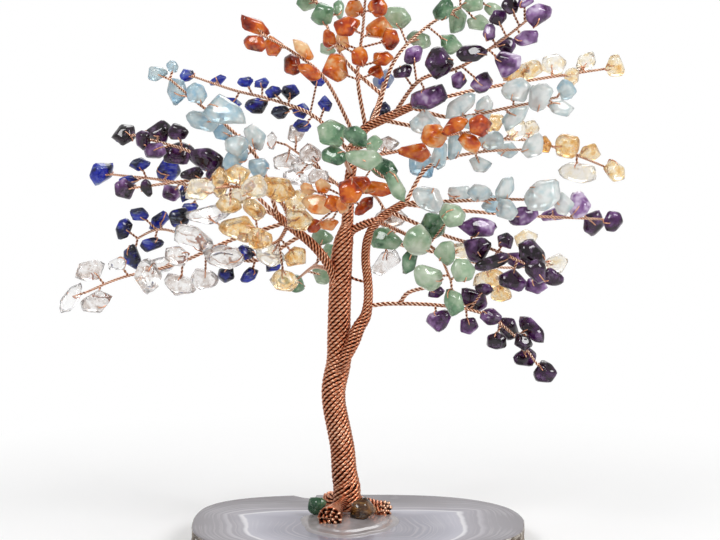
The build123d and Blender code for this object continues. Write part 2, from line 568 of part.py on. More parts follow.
def glue_pad(cuts):
    """The set resin: a low puddle on the agate, steep at its edge, parted from what stands in it."""
    angles = np.arange(GLUE_SIDES) * 2 * pi / GLUE_SIDES
    wave = 1 + GLUE_WAVE * np.sin(3 * angles + 1.0) + GLUE_WAVE / 2 * np.sin(7 * angles)
    edge = np.stack([GLUE_WIDTH * np.cos(angles), GLUE_DEPTH * np.sin(angles)], axis=1) * wave[:, None] / 2
    middle = np.array([GLUE_PLACE, TRUNK_DEPTH - GLUE_FORWARD])
    rings = [np.c_[middle + edge * share, np.full(GLUE_SIDES, BASE_THICKNESS + GLUE_HEIGHT * rise)]
             for share, rise in GLUE_PROFILE]
    top = (len(rings) - 1) * GLUE_SIDES
    faces = [list(range(GLUE_SIDES))[::-1], list(range(top, top + GLUE_SIDES))]
    for low in range(0, top, GLUE_SIDES):
        ends = [(low + i, low + (i + 1) % GLUE_SIDES) for i in range(GLUE_SIDES)]
        faces += [[i, j, GLUE_SIDES + j, GLUE_SIDES + i] for i, j in ends]
    pad = faceted(np.concatenate(rings), faces)
    for cut in cuts:
        pad = pad - cut
    return pad


def clear_start(root, out, least, end, radius, sides, others, gap):
    """The first place along a line from root where a wire to end clears the other pieces it leaves."""
    reach = least
    while True:
        start = root + out * reach
        fact = tube_facts(np.array([start, end]), [radius, radius], sides)[0]
        if all(apart(fact, other, gap) for other in others) or reach > least + START_REACH:
            return start
        reach += START_STEP


def spine_line(stem, route, depth):
    """A branch's spine: from beside the stem it leaves, out through its route as its depth grows."""
    root = point_at(stem, nearest_on(stem, seen(*route[0], 0)))[0]
    behind = root[1] - TRUNK_DEPTH
    plan = along_line(np.array([(x, 0.0, height) for x, height in route]))
    share = plan / plan[-1]
    rest = [seen(x, h, behind + (depth - behind) * s) for (x, h), s in zip(route[1:], share[1:])]
    near = [fact for fact, _ in taken if np.linalg.norm(fact[2] - root) < fact[3] + LEFT_ROPE]
    radius = SPINE_START / 2
    start = clear_start(root, unit(rest[0] - root), radius, rest[0], radius, SPINE_SIDES, near, FORK_GAP)
    return np.array([start, *rest])


def free_chip(branch_spines, chip, seed):
    """The chip at the free depth nearest to its spine, as (corners, facts, sides, spine number)."""
    x, height, length, width, tilt, *told = chip
    place = seen(x, height, 0) * [1, 0, 1]
    gaps = []
    for line, _ in branch_spines:
        flat = line * [1, 0, 1]
        gaps.append(np.linalg.norm(point_at(flat, nearest_on(flat, place))[0] - place))
    stem = int(np.argmin(gaps))
    line = branch_spines[stem][0]
    flat = line * [1, 0, 1]
    share = nearest_on(flat, place) / along_line(flat)[-1]
    behind = told[0] if told else point_at(line, share * along_line(line)[-1])[0][1] - TRUNK_DEPTH
    own = [fact for stem_line, radii in branch_spines for fact in tube_facts(stem_line, radii, SPINE_SIDES)]
    side = 1 if seed % 2 else -1
    for k in range(2 * DEPTH_TRIES):
        step = side * (-1) ** k * DEPTH_STEP * ((k + 1) // 2)
        corners, sides = chip_corners(seen(x, height, behind + step), length, width, tilt, seed)
        facts = chip_facts(corners, sides)
        free = all(apart(facts, other, CHIP_GAP) for other, _ in taken)
        if free and all(apart(facts, other, TWIG_LEAST) for other in own):
            return corners, facts, sides, stem
    return None


def free_twig(spine, facts):
    """A straight twig from a spine to a chip, the first try that touches nothing: (touched, start, end)."""
    line, radii = spine
    others = [other for other, _ in taken if other is not facts]
    own = tube_facts(line, radii, SPINE_SIDES)
    corners, _, middle, _ = facts
    here = nearest_on(line, middle)
    off = np.linalg.norm(middle - point_at(line, here)[0])
    best = None
    sides = [middle + TWIG_AIM * (corners[k] - middle) for k in (0, len(corners) // 2)]
    for aim in (middle, *sides):
        for back in TWIG_BACK:
            root = point_at(line, here - back * off)[0]
            towards = unit(aim - root)
            skin = root + towards * surface_reach(facts, root, towards)
            start = clear_start(root, towards, SPINE_TIP / 2, skin, TWIG / 2, TWIG_SIDES, own, TWIG_GAP)
            end = start + towards * ((skin - start) @ towards)
            end = clear_start(end, -towards, SEAT_GAP, start, TWIG / 2, TWIG_SIDES, [facts], TWIG_GAP)
            if (end - start) @ towards < TWIG / 4:
                continue
            fact = tube_facts(np.array([start, end]), [TWIG / 2, TWIG / 2], TWIG_SIDES)[0]
            touched = sum(not apart(fact, other, TWIG_GAP * 0.9) for other in others)
            if best is None or touched < best[0]:
                best = (touched, start, end)
            if touched == 0:
                return best
    return best


def write(solids, name):
    export_step(Compound(children=solids) if len(solids) > 1 else solids[0], f"parts/{name}.step")


os.makedirs("parts", exist_ok=True)

taken = []
seed = 0
trunk = {}
for order, name in enumerate(ROPES):
    line = rope_line(name, order)
    radii = rope_radii(name, line)
    trunk[name] = (line, radii)
    taken += [(facts, name) for facts in tube_facts(line, radii, ROPE_SIDES)]
    write([tube(line, radii, ROPE_SIDES)], f"{name}_rope")

pairs = [(a, b) for k, a in enumerate(taken) for b in taken[k + 1:] if a[1] != b[1]]
print("ropes that touch", sum(not apart(a[0], b[0], ROPE_GAP / 7) for a, b in pairs))

root_chips = []
for seed, (name, (x, y, length, width, tilt)) in enumerate(ROOT_STONES.items()):
    corners, sides = chip_corners(np.zeros(3), length, width, tilt, seed + 3)
    corners += place_on_base(x, y, SEAT_GAP) - np.array([0, 0, corners[:, 2].min()])
    facts = chip_facts(corners, sides)
    print(name, "touches", sum(not apart(facts, other, SEAT_GAP) for other, _ in taken))
    taken.append((facts, name))
    root_chips.append((corners, sides, name))
    write([faceted(corners, chip_faces(sides))], name)

foot_cuts = [tube(line[:6], radii[:6] + SEAT_GAP, ROPE_SIDES) for line, radii in trunk.values()]
for corners, sides, name in root_chips:
    middle = corners.mean(axis=0)
    grown = middle + (corners - middle) * (1 + 2 * SEAT_GAP / CHIP_LEAST)
    foot_cuts.append(faceted(grown, chip_faces(sides)))
write([agate_slice()], "agate_slice")
pad = glue_pad(foot_cuts)
print("glue solids", len(pad.solids()))
write(pad.solids(), "glue_pad")

# Spines come first, then chips where the spines leave room, then a twig out to each chip.
spines = {}
for name, branch in BRANCHES.items():
    spines[name] = []
    for route, depth in zip(branch["spines"], branch["depths"]):
        stem = spines[name][0][0] if spines[name] else trunk[branch["limb"]][0]
        line = spine_line(stem, route, depth)
        radii = np.interp(along_line(line) / along_line(line)[-1], [0, 1], [SPINE_START / 2, SPINE_TIP / 2])
        facts = tube_facts(line, radii, SPINE_SIDES)
        touched = {owner for fact in facts for other, owner in taken if not apart(fact, other, TWIG_GAP)}
        if touched:
            print("spine of", name, "touches", touched)
        spines[name].append((line, radii))
        taken += [(fact, name) for fact in facts]

chips = {}
for name, branch in BRANCHES.items():
    chips[name] = []
    for chip in branch["chips"]:
        seed += 1
        made = free_chip(spines[name], chip, seed)
        if made is None:
            print("no room for a chip of", name, "at", chip[:2])
            continue
        chips[name].append(made)
        taken.append((made[1], name))

for name in BRANCHES:
    wires = [tube(line, radii, SPINE_SIDES) for line, radii in spines[name]]
    for corners, facts, sides, stem in chips[name]:
        touched, start, end = free_twig(spines[name][stem], facts)
        if touched:
            print("twig of", name, "touches", touched, "at", end.round(1))
        taken.append((tube_facts(np.array([start, end]), [TWIG / 2, TWIG / 2], TWIG_SIDES)[0], name))
        wires.append(prism(start, end, TWIG / 2, TWIG_SIDES))
    write(wires, f"{name}_wire")
    write([faceted(corners, chip_faces(sides)) for corners, _, sides, _ in chips[name]], f"{name}_stones")
print("branches", len(BRANCHES), "chips", sum(len(made) for made in chips.values()))
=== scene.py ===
# %% [markdown]
# # A gemstone tree
# This desk ornament is a small tree. Its trunk is a rope of copper wire that stands on a slice of agate, and
# its twigs hold chips of coloured stone. The solids give every piece its place and its size. This lesson
# dresses them: it lays real strands along the ropes, tumbles the chips smooth, and gives each its finish.

import json

import bmesh
import bpy
import numpy as np
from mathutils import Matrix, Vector

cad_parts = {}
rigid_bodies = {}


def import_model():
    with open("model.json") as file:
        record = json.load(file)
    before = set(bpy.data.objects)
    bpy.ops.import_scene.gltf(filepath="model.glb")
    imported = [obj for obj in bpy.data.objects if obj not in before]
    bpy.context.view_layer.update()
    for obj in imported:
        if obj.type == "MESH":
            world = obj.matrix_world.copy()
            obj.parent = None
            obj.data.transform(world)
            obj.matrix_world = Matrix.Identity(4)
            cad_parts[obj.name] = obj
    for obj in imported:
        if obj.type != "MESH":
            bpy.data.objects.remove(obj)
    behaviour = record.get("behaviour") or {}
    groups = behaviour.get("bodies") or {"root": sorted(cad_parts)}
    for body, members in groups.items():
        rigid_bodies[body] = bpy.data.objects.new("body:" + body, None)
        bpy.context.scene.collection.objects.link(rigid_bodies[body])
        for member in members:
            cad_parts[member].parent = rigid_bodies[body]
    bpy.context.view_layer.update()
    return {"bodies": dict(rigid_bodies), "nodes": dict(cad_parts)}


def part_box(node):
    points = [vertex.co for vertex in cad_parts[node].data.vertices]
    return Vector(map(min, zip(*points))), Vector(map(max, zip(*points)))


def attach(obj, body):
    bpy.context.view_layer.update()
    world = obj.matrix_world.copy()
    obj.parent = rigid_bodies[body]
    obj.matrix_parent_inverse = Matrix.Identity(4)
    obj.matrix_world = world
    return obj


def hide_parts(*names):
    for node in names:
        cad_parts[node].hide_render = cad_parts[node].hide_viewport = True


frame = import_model()
MM = 0.001

# %% [markdown]
# ## Small tools
# Colours are written as sRGB hex codes, the way a paint program shows them, and turned to the linear values
# that a shader works in. Materials are built from nodes, so one function adds a node, sets it and links it.

# %% Colours and shader nodes
def linear(code):
    """An sRGB hex code as linear red, green, blue and alpha: the sRGB curve undone for each part."""
    parts = np.array([int(code[k:k + 2], 16) for k in (1, 3, 5)]) / 255
    curve = np.where(parts <= 0.04045, parts / 12.92, ((parts + 0.055) / 1.055) ** 2.4)
    return (*curve.tolist(), 1.0)


def add(material, kind, sockets=None, stops=(), **settings):
    """Adds a shader node: settings are its properties, sockets its inputs, each a value or an output.

    A colour ramp also takes its stops, as (place, hex code).
    """
    node = material.node_tree.nodes.new(kind)
    for name, value in settings.items():
        setattr(node, name, value)
    for name, value in (sockets or {}).items():
        if isinstance(value, bpy.types.NodeSocket):
            material.node_tree.links.new(value, node.inputs[name])
        else:
            node.inputs[name].default_value = value
    for place, _ in stops[2:]:
        node.color_ramp.elements.new(place)
    for mark, (place, code) in zip(node.color_ramp.elements if stops else (), stops):
        mark.position = place
        mark.color = linear(code)
    return node


def new_material(name):
    """An empty node material, named for what the real surface is."""
    material = bpy.data.materials.new(name)
    material.use_nodes = True
    material.node_tree.nodes.clear()
    return material


def finish_with(material, shader):
    """Links the shader to the material's output and says how many nodes it took."""
    add(material, "ShaderNodeOutputMaterial", {"Surface": shader.outputs[0]})
    print("material", material.name, "nodes", len(material.node_tree.nodes))
    return material


def spread(material, size_mm, detail=3.0, rough=0.55, stretch=(1, 1, 1), twist=0.0):
    """Noise whose blotches are about size_mm across, on Object coordinates, drawn out by stretch."""
    place = add(material, "ShaderNodeTexCoord").outputs["Object"]
    turned = add(material, "ShaderNodeMapping", {"Vector": place, "Scale": stretch,
                                                 "Rotation": (twist, 0.4, twist)})
    noise = add(material, "ShaderNodeTexNoise", {"Vector": turned.outputs[0], "Scale": 1 / (size_mm * MM),
                                                 "Detail": detail, "Roughness": rough})
    return noise.outputs["Fac"]


# %% [markdown]
# ## Grids into meshes
# Every new piece is a grid of points: rows along it and columns round it. A stack of equal grids becomes one
# mesh, with the columns closed into rings and each end closed by a fan to one point. Whole arrays of corner
# numbers are worked out at once and handed to Blender, which is much faster than adding faces one by one.

# %% Mesh from stacked grids
def grid_faces(count, rows, columns, first):
    """Corner numbers for count grids of rows x columns, then two end points each, starting at number first."""
    ring = np.arange(rows * columns).reshape(rows, columns)
    beside = np.roll(ring, -1, axis=1)
    quads = np.stack([ring[:-1], beside[:-1], beside[1:], ring[1:]], axis=-1).reshape(-1, 4)
    low, high = rows * columns, rows * columns + 1
    low_fan = np.stack([beside[0], ring[0], np.full(columns, low)], axis=-1)
    high_fan = np.stack([ring[-1], beside[-1], np.full(columns, high)], axis=-1)
    starts = first + np.arange(count)[:, None, None] * (rows * columns + 2)
    return (starts + quads).reshape(-1, 4), (starts + np.vstack([low_fan, high_fan])).reshape(-1, 3)


def make_piece(name, stacks, material, body, nodes):
    """One object from stacks of (points, ends, tone): points (count, rows, columns, 3), ends (count, 2, 3)."""
    places, tones, quads, fans = [], [], [], []
    first = 0
    for points, ends, tone in stacks:
        count, rows, columns, _ = points.shape
        flat = np.concatenate([points.reshape(count, -1, 3), ends], axis=1)
        end_tone = np.stack([tone[:, 0].mean(axis=-1), tone[:, -1].mean(axis=-1)], axis=1)
        tones.append(np.concatenate([tone.reshape(count, -1), end_tone], axis=1).ravel())
        four, three = grid_faces(count, rows, columns, first)
        quads.append(four)
        fans.append(three)
        places.append(flat.reshape(-1, 3))
        first += len(places[-1])
    quads, fans = np.concatenate(quads), np.concatenate(fans)
    corners = np.concatenate([quads.ravel(), fans.ravel()])
    starts = np.concatenate([np.arange(len(quads)) * 4, quads.size + np.arange(len(fans)) * 3])
    mesh = bpy.data.meshes.new(name)
    mesh.vertices.add(first)
    mesh.vertices.foreach_set("co", np.concatenate(places).astype(np.float32).ravel())
    mesh.loops.add(len(corners))
    mesh.loops.foreach_set("vertex_index", corners.astype(np.int32))
    mesh.polygons.add(len(starts))
    mesh.polygons.foreach_set("loop_start", starts.astype(np.int32))
    mesh.polygons.foreach_set("use_smooth", np.ones(len(starts), bool))
    tone_layer = mesh.attributes.new("tone", "FLOAT", "POINT")
    tone_layer.data.foreach_set("value", np.concatenate(tones).astype(np.float32))
    mesh.update(calc_edges=True)
    mesh.validate()
    mesh.materials.append(material)
    piece = bpy.data.objects.new(name, mesh)
    bpy.context.scene.collection.objects.link(piece)
    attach(piece, body)
    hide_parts(*nodes)
    print(name, "faces", len(starts))
    return piece


# %% [markdown]
# ## Reading the solids
# A node's mesh is loose triangles, so a copy is merged first. Its separate solids are then the groups of
# corners that triangles join. A tube's middle line is found by walking from one flat end, ring by ring.

# %% Solids, planes and middle lines
MERGE_GAP = 0.002 * MM
LEVEL_GAP = 0.01 * MM


def unit(vectors):
    """Vectors divided by their lengths."""
    return vectors / np.maximum(np.linalg.norm(vectors, axis=-1, keepdims=True), 1e-12)


def solids_of(node):
    """The node's solids as (corners, triangles): every corner takes the lowest number its triangles reach."""
    copy = bmesh.new()
    copy.from_mesh(frame["nodes"][node].data)
    bmesh.ops.remove_doubles(copy, verts=copy.verts, dist=MERGE_GAP)
    merged = bpy.data.meshes.new("merged")
    copy.to_mesh(merged)
    copy.free()
    corners = np.empty(len(merged.vertices) * 3)
    merged.vertices.foreach_get("co", corners)
    triangles = np.empty(len(merged.loops), int)
    merged.loops.foreach_get("vertex_index", triangles)
    bpy.data.meshes.remove(merged)
    corners, triangles = corners.reshape(-1, 3), triangles.reshape(-1, 3)
    group = np.arange(len(corners))
    settled = False
    while not settled:
        spread_to = group.copy()
        np.minimum.at(spread_to, triangles.ravel(), np.repeat(group[triangles].min(axis=1), 3))
        settled = bool((spread_to == group).all())
        group = spread_to
    solids = []
    for label in np.unique(group):
        mine = np.flatnonzero(group == label)
        solids.append((corners[mine], np.searchsorted(mine, triangles[group[triangles[:, 0]] == label])))
    return solids


def normals_of(corners, triangles):
    """Each triangle's outward direction: the cross product of two of its edges, made unit length."""
    a, b, c = (corners[triangles[:, k]] for k in range(3))
    return unit(np.cross(b - a, c - a))


def middle_line(corners, triangles, sides):
    """Ring middles and radii of a tube, as (x, y, z, radius), walked from the flat end it has lowest down."""
    normals = np.round(normals_of(corners, triangles), 3)
    kinds, kind_of, counts = np.unique(normals, axis=0, return_inverse=True, return_counts=True)
    caps = [triangles[kind_of.ravel() == k].ravel() for k in np.flatnonzero(counts >= sides - 2)]
    caps = [np.unique(cap) for cap in caps if len(np.unique(cap)) == sides]
    ring = np.zeros(len(corners), bool)
    ring[min(caps, key=lambda cap: corners[cap, 2].mean())] = True
    met = ring.copy()
    line = []
    while ring.any():
        middle = corners[ring].mean(axis=0)
        line.append([*middle, np.linalg.norm(corners[ring] - middle, axis=1).mean()])
        beyond = np.zeros(len(corners), bool)
        beyond[triangles[ring[triangles].any(axis=1)].ravel()] = True
        ring = beyond & ~met
        met |= ring
    return np.array(line)


# %% [markdown]
# ## Copper wire
# The wire is bare copper, drawn through a die, then handled and twisted. Its colour holds painted light:
# a painted highlight on the scuffed outside of every strand and painted shade in the groove between two strands.
# The strands carry a "tone" from 0 in the groove to 1 outside, so the painted light follows the lay of the rope
# from any side. The thin wires of the branches were handled less and are brighter, so their tone goes above 1.

# %% Copper material
# Tones from brown painted shade in the grooves to an orange and pale painted highlight on the crowns
COPPER_TONES = [(0.0, "#220805"), (0.26, "#85412B"), (0.53, "#C57B58"), (0.75, "#F4C7A8"), (1.0, "#FFE9D6")]


def copper_wire():
    """Bare copper: metal, with brown painted shade in the grooves, an orange to pale painted highlight on the
    crowns, and slow patches of tarnish.
    """
    material = new_material("bare_copper_wire")
    tone = add(material, "ShaderNodeAttribute", attribute_name="tone").outputs["Fac"]
    patches = spread(material, 5.0)
    scuffs = spread(material, 0.6, detail=4.0)
    # Slow tarnish patches added to the tone, which is painted shade in the grooves and a painted highlight on the
    # crowns
    tarnish_and_painted_light = add(material, "ShaderNodeMath", {0: patches, 1: 0.4, 2: tone}, operation="MULTIPLY_ADD").outputs[0]
    level = add(material, "ShaderNodeMapRange", {"Value": tarnish_and_painted_light, "From Min": 0.22,
                                                 "From Max": 1.55}).outputs[0]
    colour = add(material, "ShaderNodeValToRGB", {"Fac": level}, COPPER_TONES).outputs["Color"]
    rough = add(material, "ShaderNodeMapRange", {"Value": scuffs, "To Min": 0.24, "To Max": 0.46}).outputs[0]
    shader = add(material, "ShaderNodeBsdfPrincipled", {"Base Color": colour, "Metallic": 1.0,
                                                        "Roughness": rough})
    return finish_with(material, shader)


copper = copper_wire()

# %% [markdown]
# ## Lines and strands
# A rope is strands laid round a middle line. The middle line runs smoothly through the rings read from the
# solid. A strand keeps its distance from that line and turns round it at an even lay. Each strand of the
# trunk is itself a twisted pair, so its section has two lobes that turn along it and make it look beaded.

# %% Smooth lines and strands
def smooth_line(knots, spacing):
    """A line through knots at an even spacing: cubics whose slope at a knot is half the step between its sides."""
    ends = np.vstack([2 * knots[0] - knots[1], knots, 2 * knots[-1] - knots[-2]])
    a, b, c, d = ends[:-3], ends[1:-2], ends[2:-1], ends[3:]
    t = np.linspace(0, 1, 24, endpoint=False)[:, None, None]
    curve = b + t * (c - a) / 2 + t**2 * (2 * a - 5 * b + 4 * c - d) / 2 + t**3 * (3 * b - a - 3 * c + d) / 2
    dense = np.vstack([curve.transpose(1, 0, 2).reshape(-1, knots.shape[1]), knots[-1:]])
    reach = np.concatenate([[0], np.cumsum(np.linalg.norm(np.diff(dense[:, :3], axis=0), axis=1))])
    even = np.linspace(0, reach[-1], max(4, int(reach[-1] / spacing) + 1))
    return np.stack([np.interp(even, reach, column) for column in dense.T], axis=1), even


def strands(line, reach, lead, count, wire, sides, lean=None, lobes=0.0, bead=1.0, groove=0.0, bright=1.0):
    """Strands round a line of (x, y, z, radius), as a stack for make_piece.

    Each is a tube of radius wire that touches the rope's skin from inside. It leans by an angle from the
    rope's line, so it turns by tan(lean) / (its distance from that line) in every metre. With no lean given,
    it leans so far that the strands just fill the ring: cos(lean) = count wire / (pi distance). Its section
    is a circle with two lobes that turn once in every bead. Its tone is painted light: a painted highlight on
    its outer crown falls, as painted shade, to the groove's share of that beside the next strand, and more
    painted shade dips it between its two lobes.
    """
    middle, radius = line[:, :3], line[:, 3]
    along = unit(np.gradient(middle, axis=0))
    across = unit(lead - along * (along @ lead)[:, None])
    over = np.cross(along, across)
    wire = wire * np.ones(len(line))
    if lean is None:
        lean = np.arccos(np.clip(count * wire / (np.pi * (radius - wire)), 0.5, 0.96))
    rate = np.tan(lean) / (radius - wire)
    turn = np.concatenate([[0], np.cumsum(rate[1:] * np.diff(reach))])
    turn = turn + 2 * np.pi * np.arange(count)[:, None] / count
    out = np.cos(turn)[..., None] * across + np.sin(turn)[..., None] * over
    path = middle + (radius - wire)[:, None] * out
    forward = unit(np.gradient(path, axis=1))
    outward = unit(out - forward * (out * forward).sum(axis=-1, keepdims=True))
    sideways = np.cross(forward, outward)
    angle = np.arange(sides) * 2 * np.pi / sides
    own_reach = np.concatenate([[0], np.cumsum(np.linalg.norm(np.diff(path[0], axis=0), axis=1))])
    lobe = np.cos(2 * (angle - 2 * np.pi * own_reach[:, None] / bead))
    section = (wire[:, None] * (1 + lobes * lobe))[None, ..., None]
    points = path[:, :, None] + section * (np.cos(angle)[:, None] * outward[:, :, None]
                                           + np.sin(angle)[:, None] * sideways[:, :, None])
    # Painted light: a painted highlight on the outer crown, painted shade towards the groove and between the two
    # lobes
    crown = bright * (groove + (1 - groove) * np.clip((np.cos(angle) - 0.2) / 0.7, 0, 1))
    tone = np.broadcast_to(crown * (1 - 1.3 * lobes * (1 - lobe)), points.shape[:3]).copy()
    tone[:, [0, -1]] = 1.0
    return points, path[:, [0, -1]], tone


# %% [markdown]
# ## The trunk and its limbs
# The solids are three ropes that stand in the resin, twist round each other and run on as limbs. On the real
# tree they are laid so tightly that the trunk is one thick rope, and a limb seems to come out of its side. So
# one thick rope runs midway between the three from the resin to the upper fork. The three themselves show
# below it as roots and above it as limbs. Where they meet it they are drawn in to its middle, so that no cut end
# shows. Under the outer ring of strands are more rings, so that a cut root shows wire ends all over.

# %% Rope sizes
AGATE_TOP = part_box("agate_slice")[1].z
TRUNK_STRAND = 0.58 * MM
LIMB_STRAND = 0.45 * MM
TRUNK_RADIUS_MM = [(0, 4.5), (5, 4.3), (9, 4.1), (14, 3.85), (22, 3.7), (34, 3.6), (42, 3.8), (51, 3.75),
                   (58, 3.5), (67, 3.45), (77, 3.35), (83, 2.95), (86, 2.2), (89, 1.5)]
TRUNK_FOOT_MM = 8
TRUNK_HEAD_MM = (74, 89)
TRUNK_STRANDS = 11
# Each rope: where its root ends, the heights over which its limb leaves the trunk, and the strands in each
ROPE_PARTS = {"left_rope": (8, 62, 88, 10, 7), "right_rope": (8, 40, 54, 9, 8),
              "column_rope": (8, 78, 89, 9, 7)}
# The trunk's middle follows the right and the left rope by these shares, until the heights where they leave it
RIGHT_SHARE = 0.3
RIGHT_LEAVES_MM = (40, 56)
LEFT_SHARE = 0.5
LEFT_LOSS = 0.32
LEFT_LEAVES_MM = (58, 78)
# Heights over which a root rises out of the resin, grows thin and goes into the trunk
ROOT_RISE_MM = (2, 12)
ROOT_THIN_MM = (3.7, 5)
ROOT_JOIN_MM = 4
ROOT_GIRTH = 1.1
ROOT_TAPER = 0.3
ROOT_SINK = 1.2 * MM
ROOT_STRAND = 0.56 * MM
DRAWN_IN = 0.75
DRAWN_THIN = 0.4
ROPE_STEP = 0.25 * MM
ROPE_SIDES = 10
STRAND_SIDES = 10
THIN_SIDES = 6
RING_SPACING = 1.7
INNER_SHARE = 0.45
# The right limb is thicker at its fork and comes round the front of the trunk between these heights
FORK_GIRTH = 0.48
FORK_FORWARD = 2.2 * MM
FORK_ROUND_MM = (40, 48, 50, 60)
FORK_THICK_MM = (54, 66)
PAIR_BEAD = 2.8 * MM
PAIR_LOBE = 0.13
# A few strands cross from the middle limb to the right one: x, y, height above the agate and radius
CROSSING_MM = [(-3.0, 13.6, 80, 1.2), (-1.6, 13.0, 85.4, 1.3), (2.4, 11.4, 88.0, 1.3), (7.4, 10.0, 89.8, 1.2),
               (11.0, 10.0, 92.1, 0.8)]
CROSSING_STRANDS = 4
# One loose twist of wire ties the trunk to the right limb: its two heights above the agate and its radius
LINK_MM = (73.5, 70.5, 0.5)
LINK_LEAN = np.radians(30)
# The thin wires' tone in the groove: how light their painted shade stays there
THIN_GROOVE = 0.15
print("agate top", round(AGATE_TOP / MM, 2), "mm")


# %% Rope helpers
def ease(value, low, high):
    """0 below low, 1 above high, and the smooth step 3t^2 - 2t^3 between them."""
    t = np.clip((value - low) / (high - low), 0, 1)
    return t * t * (3 - 2 * t)


def height_over(level):
    """How far a level is above the agate, in millimetres."""
    return (level - AGATE_TOP) / MM


def rope_stacks(line, reach, count, strand):
    """A rope's outer ring of strands, thinner where they are crowded, and plainer rings inside it."""
    lead = unit(np.cross([0, 0, 1.0], line[-1, :3] - line[0, :3]))
    wire = strand * np.minimum(1, line[:, 3] / (count * strand / (0.8 * np.pi) + strand))
    stacks = [strands(line, reach, lead, count, wire, STRAND_SIDES, None, PAIR_LOBE, PAIR_BEAD)]
    rings = int(line[:, 3].max() / (RING_SPACING * strand))
    for ring in range(1, rings + 1):
        share = 1 - ring / (rings + 0.5)
        inner = line[::3] * [1, 1, 1, share]
        thin = np.minimum(strand, INNER_SHARE * inner[:, 3])
        stacks.append(strands(inner, reach[::3], lead, max(2, round(count * share)), thin, THIN_SIDES))
    return stacks


def beside(line, levels):
    """Where a rising line is, in x and y, at each of these levels."""
    rising = np.maximum.accumulate(line[:, 2])
    return np.stack([np.interp(levels, rising, line[:, k]) for k in (0, 1)], axis=1)


def drawn_in(line, share):
    """The line moved a share of the way to the trunk's middle at its own level, and thinned there."""
    moved = line.copy()
    moved[:, :2] += share[:, None] * (beside(trunk, line[:, 2]) - line[:, :2])
    moved[:, 3] *= 1 - DRAWN_THIN * share
    return moved


def round_front(limb, height):
    """The limb thickened at its fork, and moved forward there by a smooth hump over its height."""
    moved = limb.copy()
    hump = ease(height, *FORK_ROUND_MM[:2]) * (1 - ease(height, *FORK_ROUND_MM[2:]))
    moved[:, 1] -= FORK_FORWARD * hump
    moved[:, 3] *= 1 + FORK_GIRTH * (1 - ease(height, *FORK_THICK_MM))
    return moved


def link_strands(limb):
    """Two strands from the trunk's middle down to the limb's, sagging by their own radius on the way."""
    *heights, radius = LINK_MM
    start, end = (AGATE_TOP + height * MM for height in heights)
    knots = np.array([[*beside(trunk, [start])[0], start], [*beside(limb, [end])[0], end]])
    halfway = knots.mean(axis=0) - [0, 0, radius * MM]
    line = np.insert(knots, 1, halfway, axis=0)
    line, reach = smooth_line(np.column_stack([line, np.full(3, radius * MM)]), ROPE_STEP)
    up = np.array([0, 0, 1.0])
    return strands(line, reach, up, 2, radius * MM / 2, THIN_SIDES, LINK_LEAN, groove=THIN_GROOVE)


# %% Trunk line
rope_lines = {name: smooth_line(middle_line(*solids_of(name)[0], ROPE_SIDES), ROPE_STEP) for name in ROPE_PARTS}
level = np.arange(AGATE_TOP, AGATE_TOP + TRUNK_HEAD_MM[1] * MM, 0.9 * ROPE_STEP)
height = height_over(level)
above_foot = np.maximum(level, AGATE_TOP + TRUNK_FOOT_MM * MM)
left_at, right_at, column_at = (beside(line, above_foot) for line, _ in rope_lines.values())
right_share = (RIGHT_SHARE * (1 - ease(height, *RIGHT_LEAVES_MM)))[:, None]
left_share = (LEFT_SHARE - LEFT_LOSS * ease(height, *LEFT_LEAVES_MM))[:, None]
shared = right_share * right_at + (1 - right_share) * (left_share * left_at + (1 - left_share) * column_at)
shared += ease(height, *TRUNK_HEAD_MM)[:, None] * (column_at - shared)
trunk = np.column_stack([shared, level, np.interp(height, *np.array(TRUNK_RADIUS_MM).T) * MM])
trunk_reach = np.concatenate([[0], np.cumsum(np.linalg.norm(np.diff(trunk[:, :3], axis=0), axis=1))])
print("trunk", round(trunk_reach[-1] / MM, 1), "mm long")

# %% Roots, trunk and limbs
rope_middles = [trunk[:, :3]]
for name, (root_top, limb_foot, limb_free, root_count, limb_count) in ROPE_PARTS.items():
    line, reach = rope_lines[name]
    height = height_over(line[:, 2])
    limb, root = height > limb_foot, height < root_top
    limb_line = drawn_in(line, DRAWN_IN * (1 - ease(height, limb_foot, limb_free)))
    if name == "right_rope":
        limb_line = round_front(limb_line, height)
    root_line = line - np.outer(1 - ease(height, *ROOT_RISE_MM), [0, 0, ROOT_SINK, 0])
    root_line[:, 3] *= ROOT_GIRTH * (1 - ROOT_TAPER * ease(height, *ROOT_THIN_MM))
    root_line = drawn_in(root_line, ease(height, ROOT_JOIN_MM, root_top))
    rope_middles.append(limb_line[limb, :3])
    stacks = rope_stacks(limb_line[limb], reach[limb], limb_count, LIMB_STRAND)
    stacks += rope_stacks(root_line[root], reach[root], root_count, ROOT_STRAND)
    if name == "column_rope":
        stacks += rope_stacks(trunk, trunk_reach, TRUNK_STRANDS, TRUNK_STRAND)
    if name == "right_rope":
        knots = (np.array(CROSSING_MM) + [0, 0, AGATE_TOP / MM, 0]) * MM
        stacks += rope_stacks(*smooth_line(knots, ROPE_STEP), CROSSING_STRANDS, LIMB_STRAND)
        stacks.append(link_strands(limb_line))
    make_piece(f"{name}_strands", stacks, copper, "base_and_trunk", [name])

# %% [markdown]
# ## The stones
# The chips are tumbled: broken stone that has rolled in grit until its edges went round. A chip's solid is a
# rough cut with flat faces. The tumbled form comes from the same faces: in every direction the distance to
# each face is taken as a power, and the sum of them rounds every edge. Quartz and lapis break into sharper
# chips, so their power is higher. Rounding takes the corners off, so the sum is shared among the five or so
# faces that meet at a corner, which leaves the stone as wide as the rough cut.

# %% Tumbled chips
CHIP_POWER = 15.0
SHARP_POWER = {"quartz": 26.0, "lapis": 22.0}
CORNER_FACES = 5
CHIP_ROWS = 15
CHIP_COLUMNS = 26
CHIP_DENT = 0.05


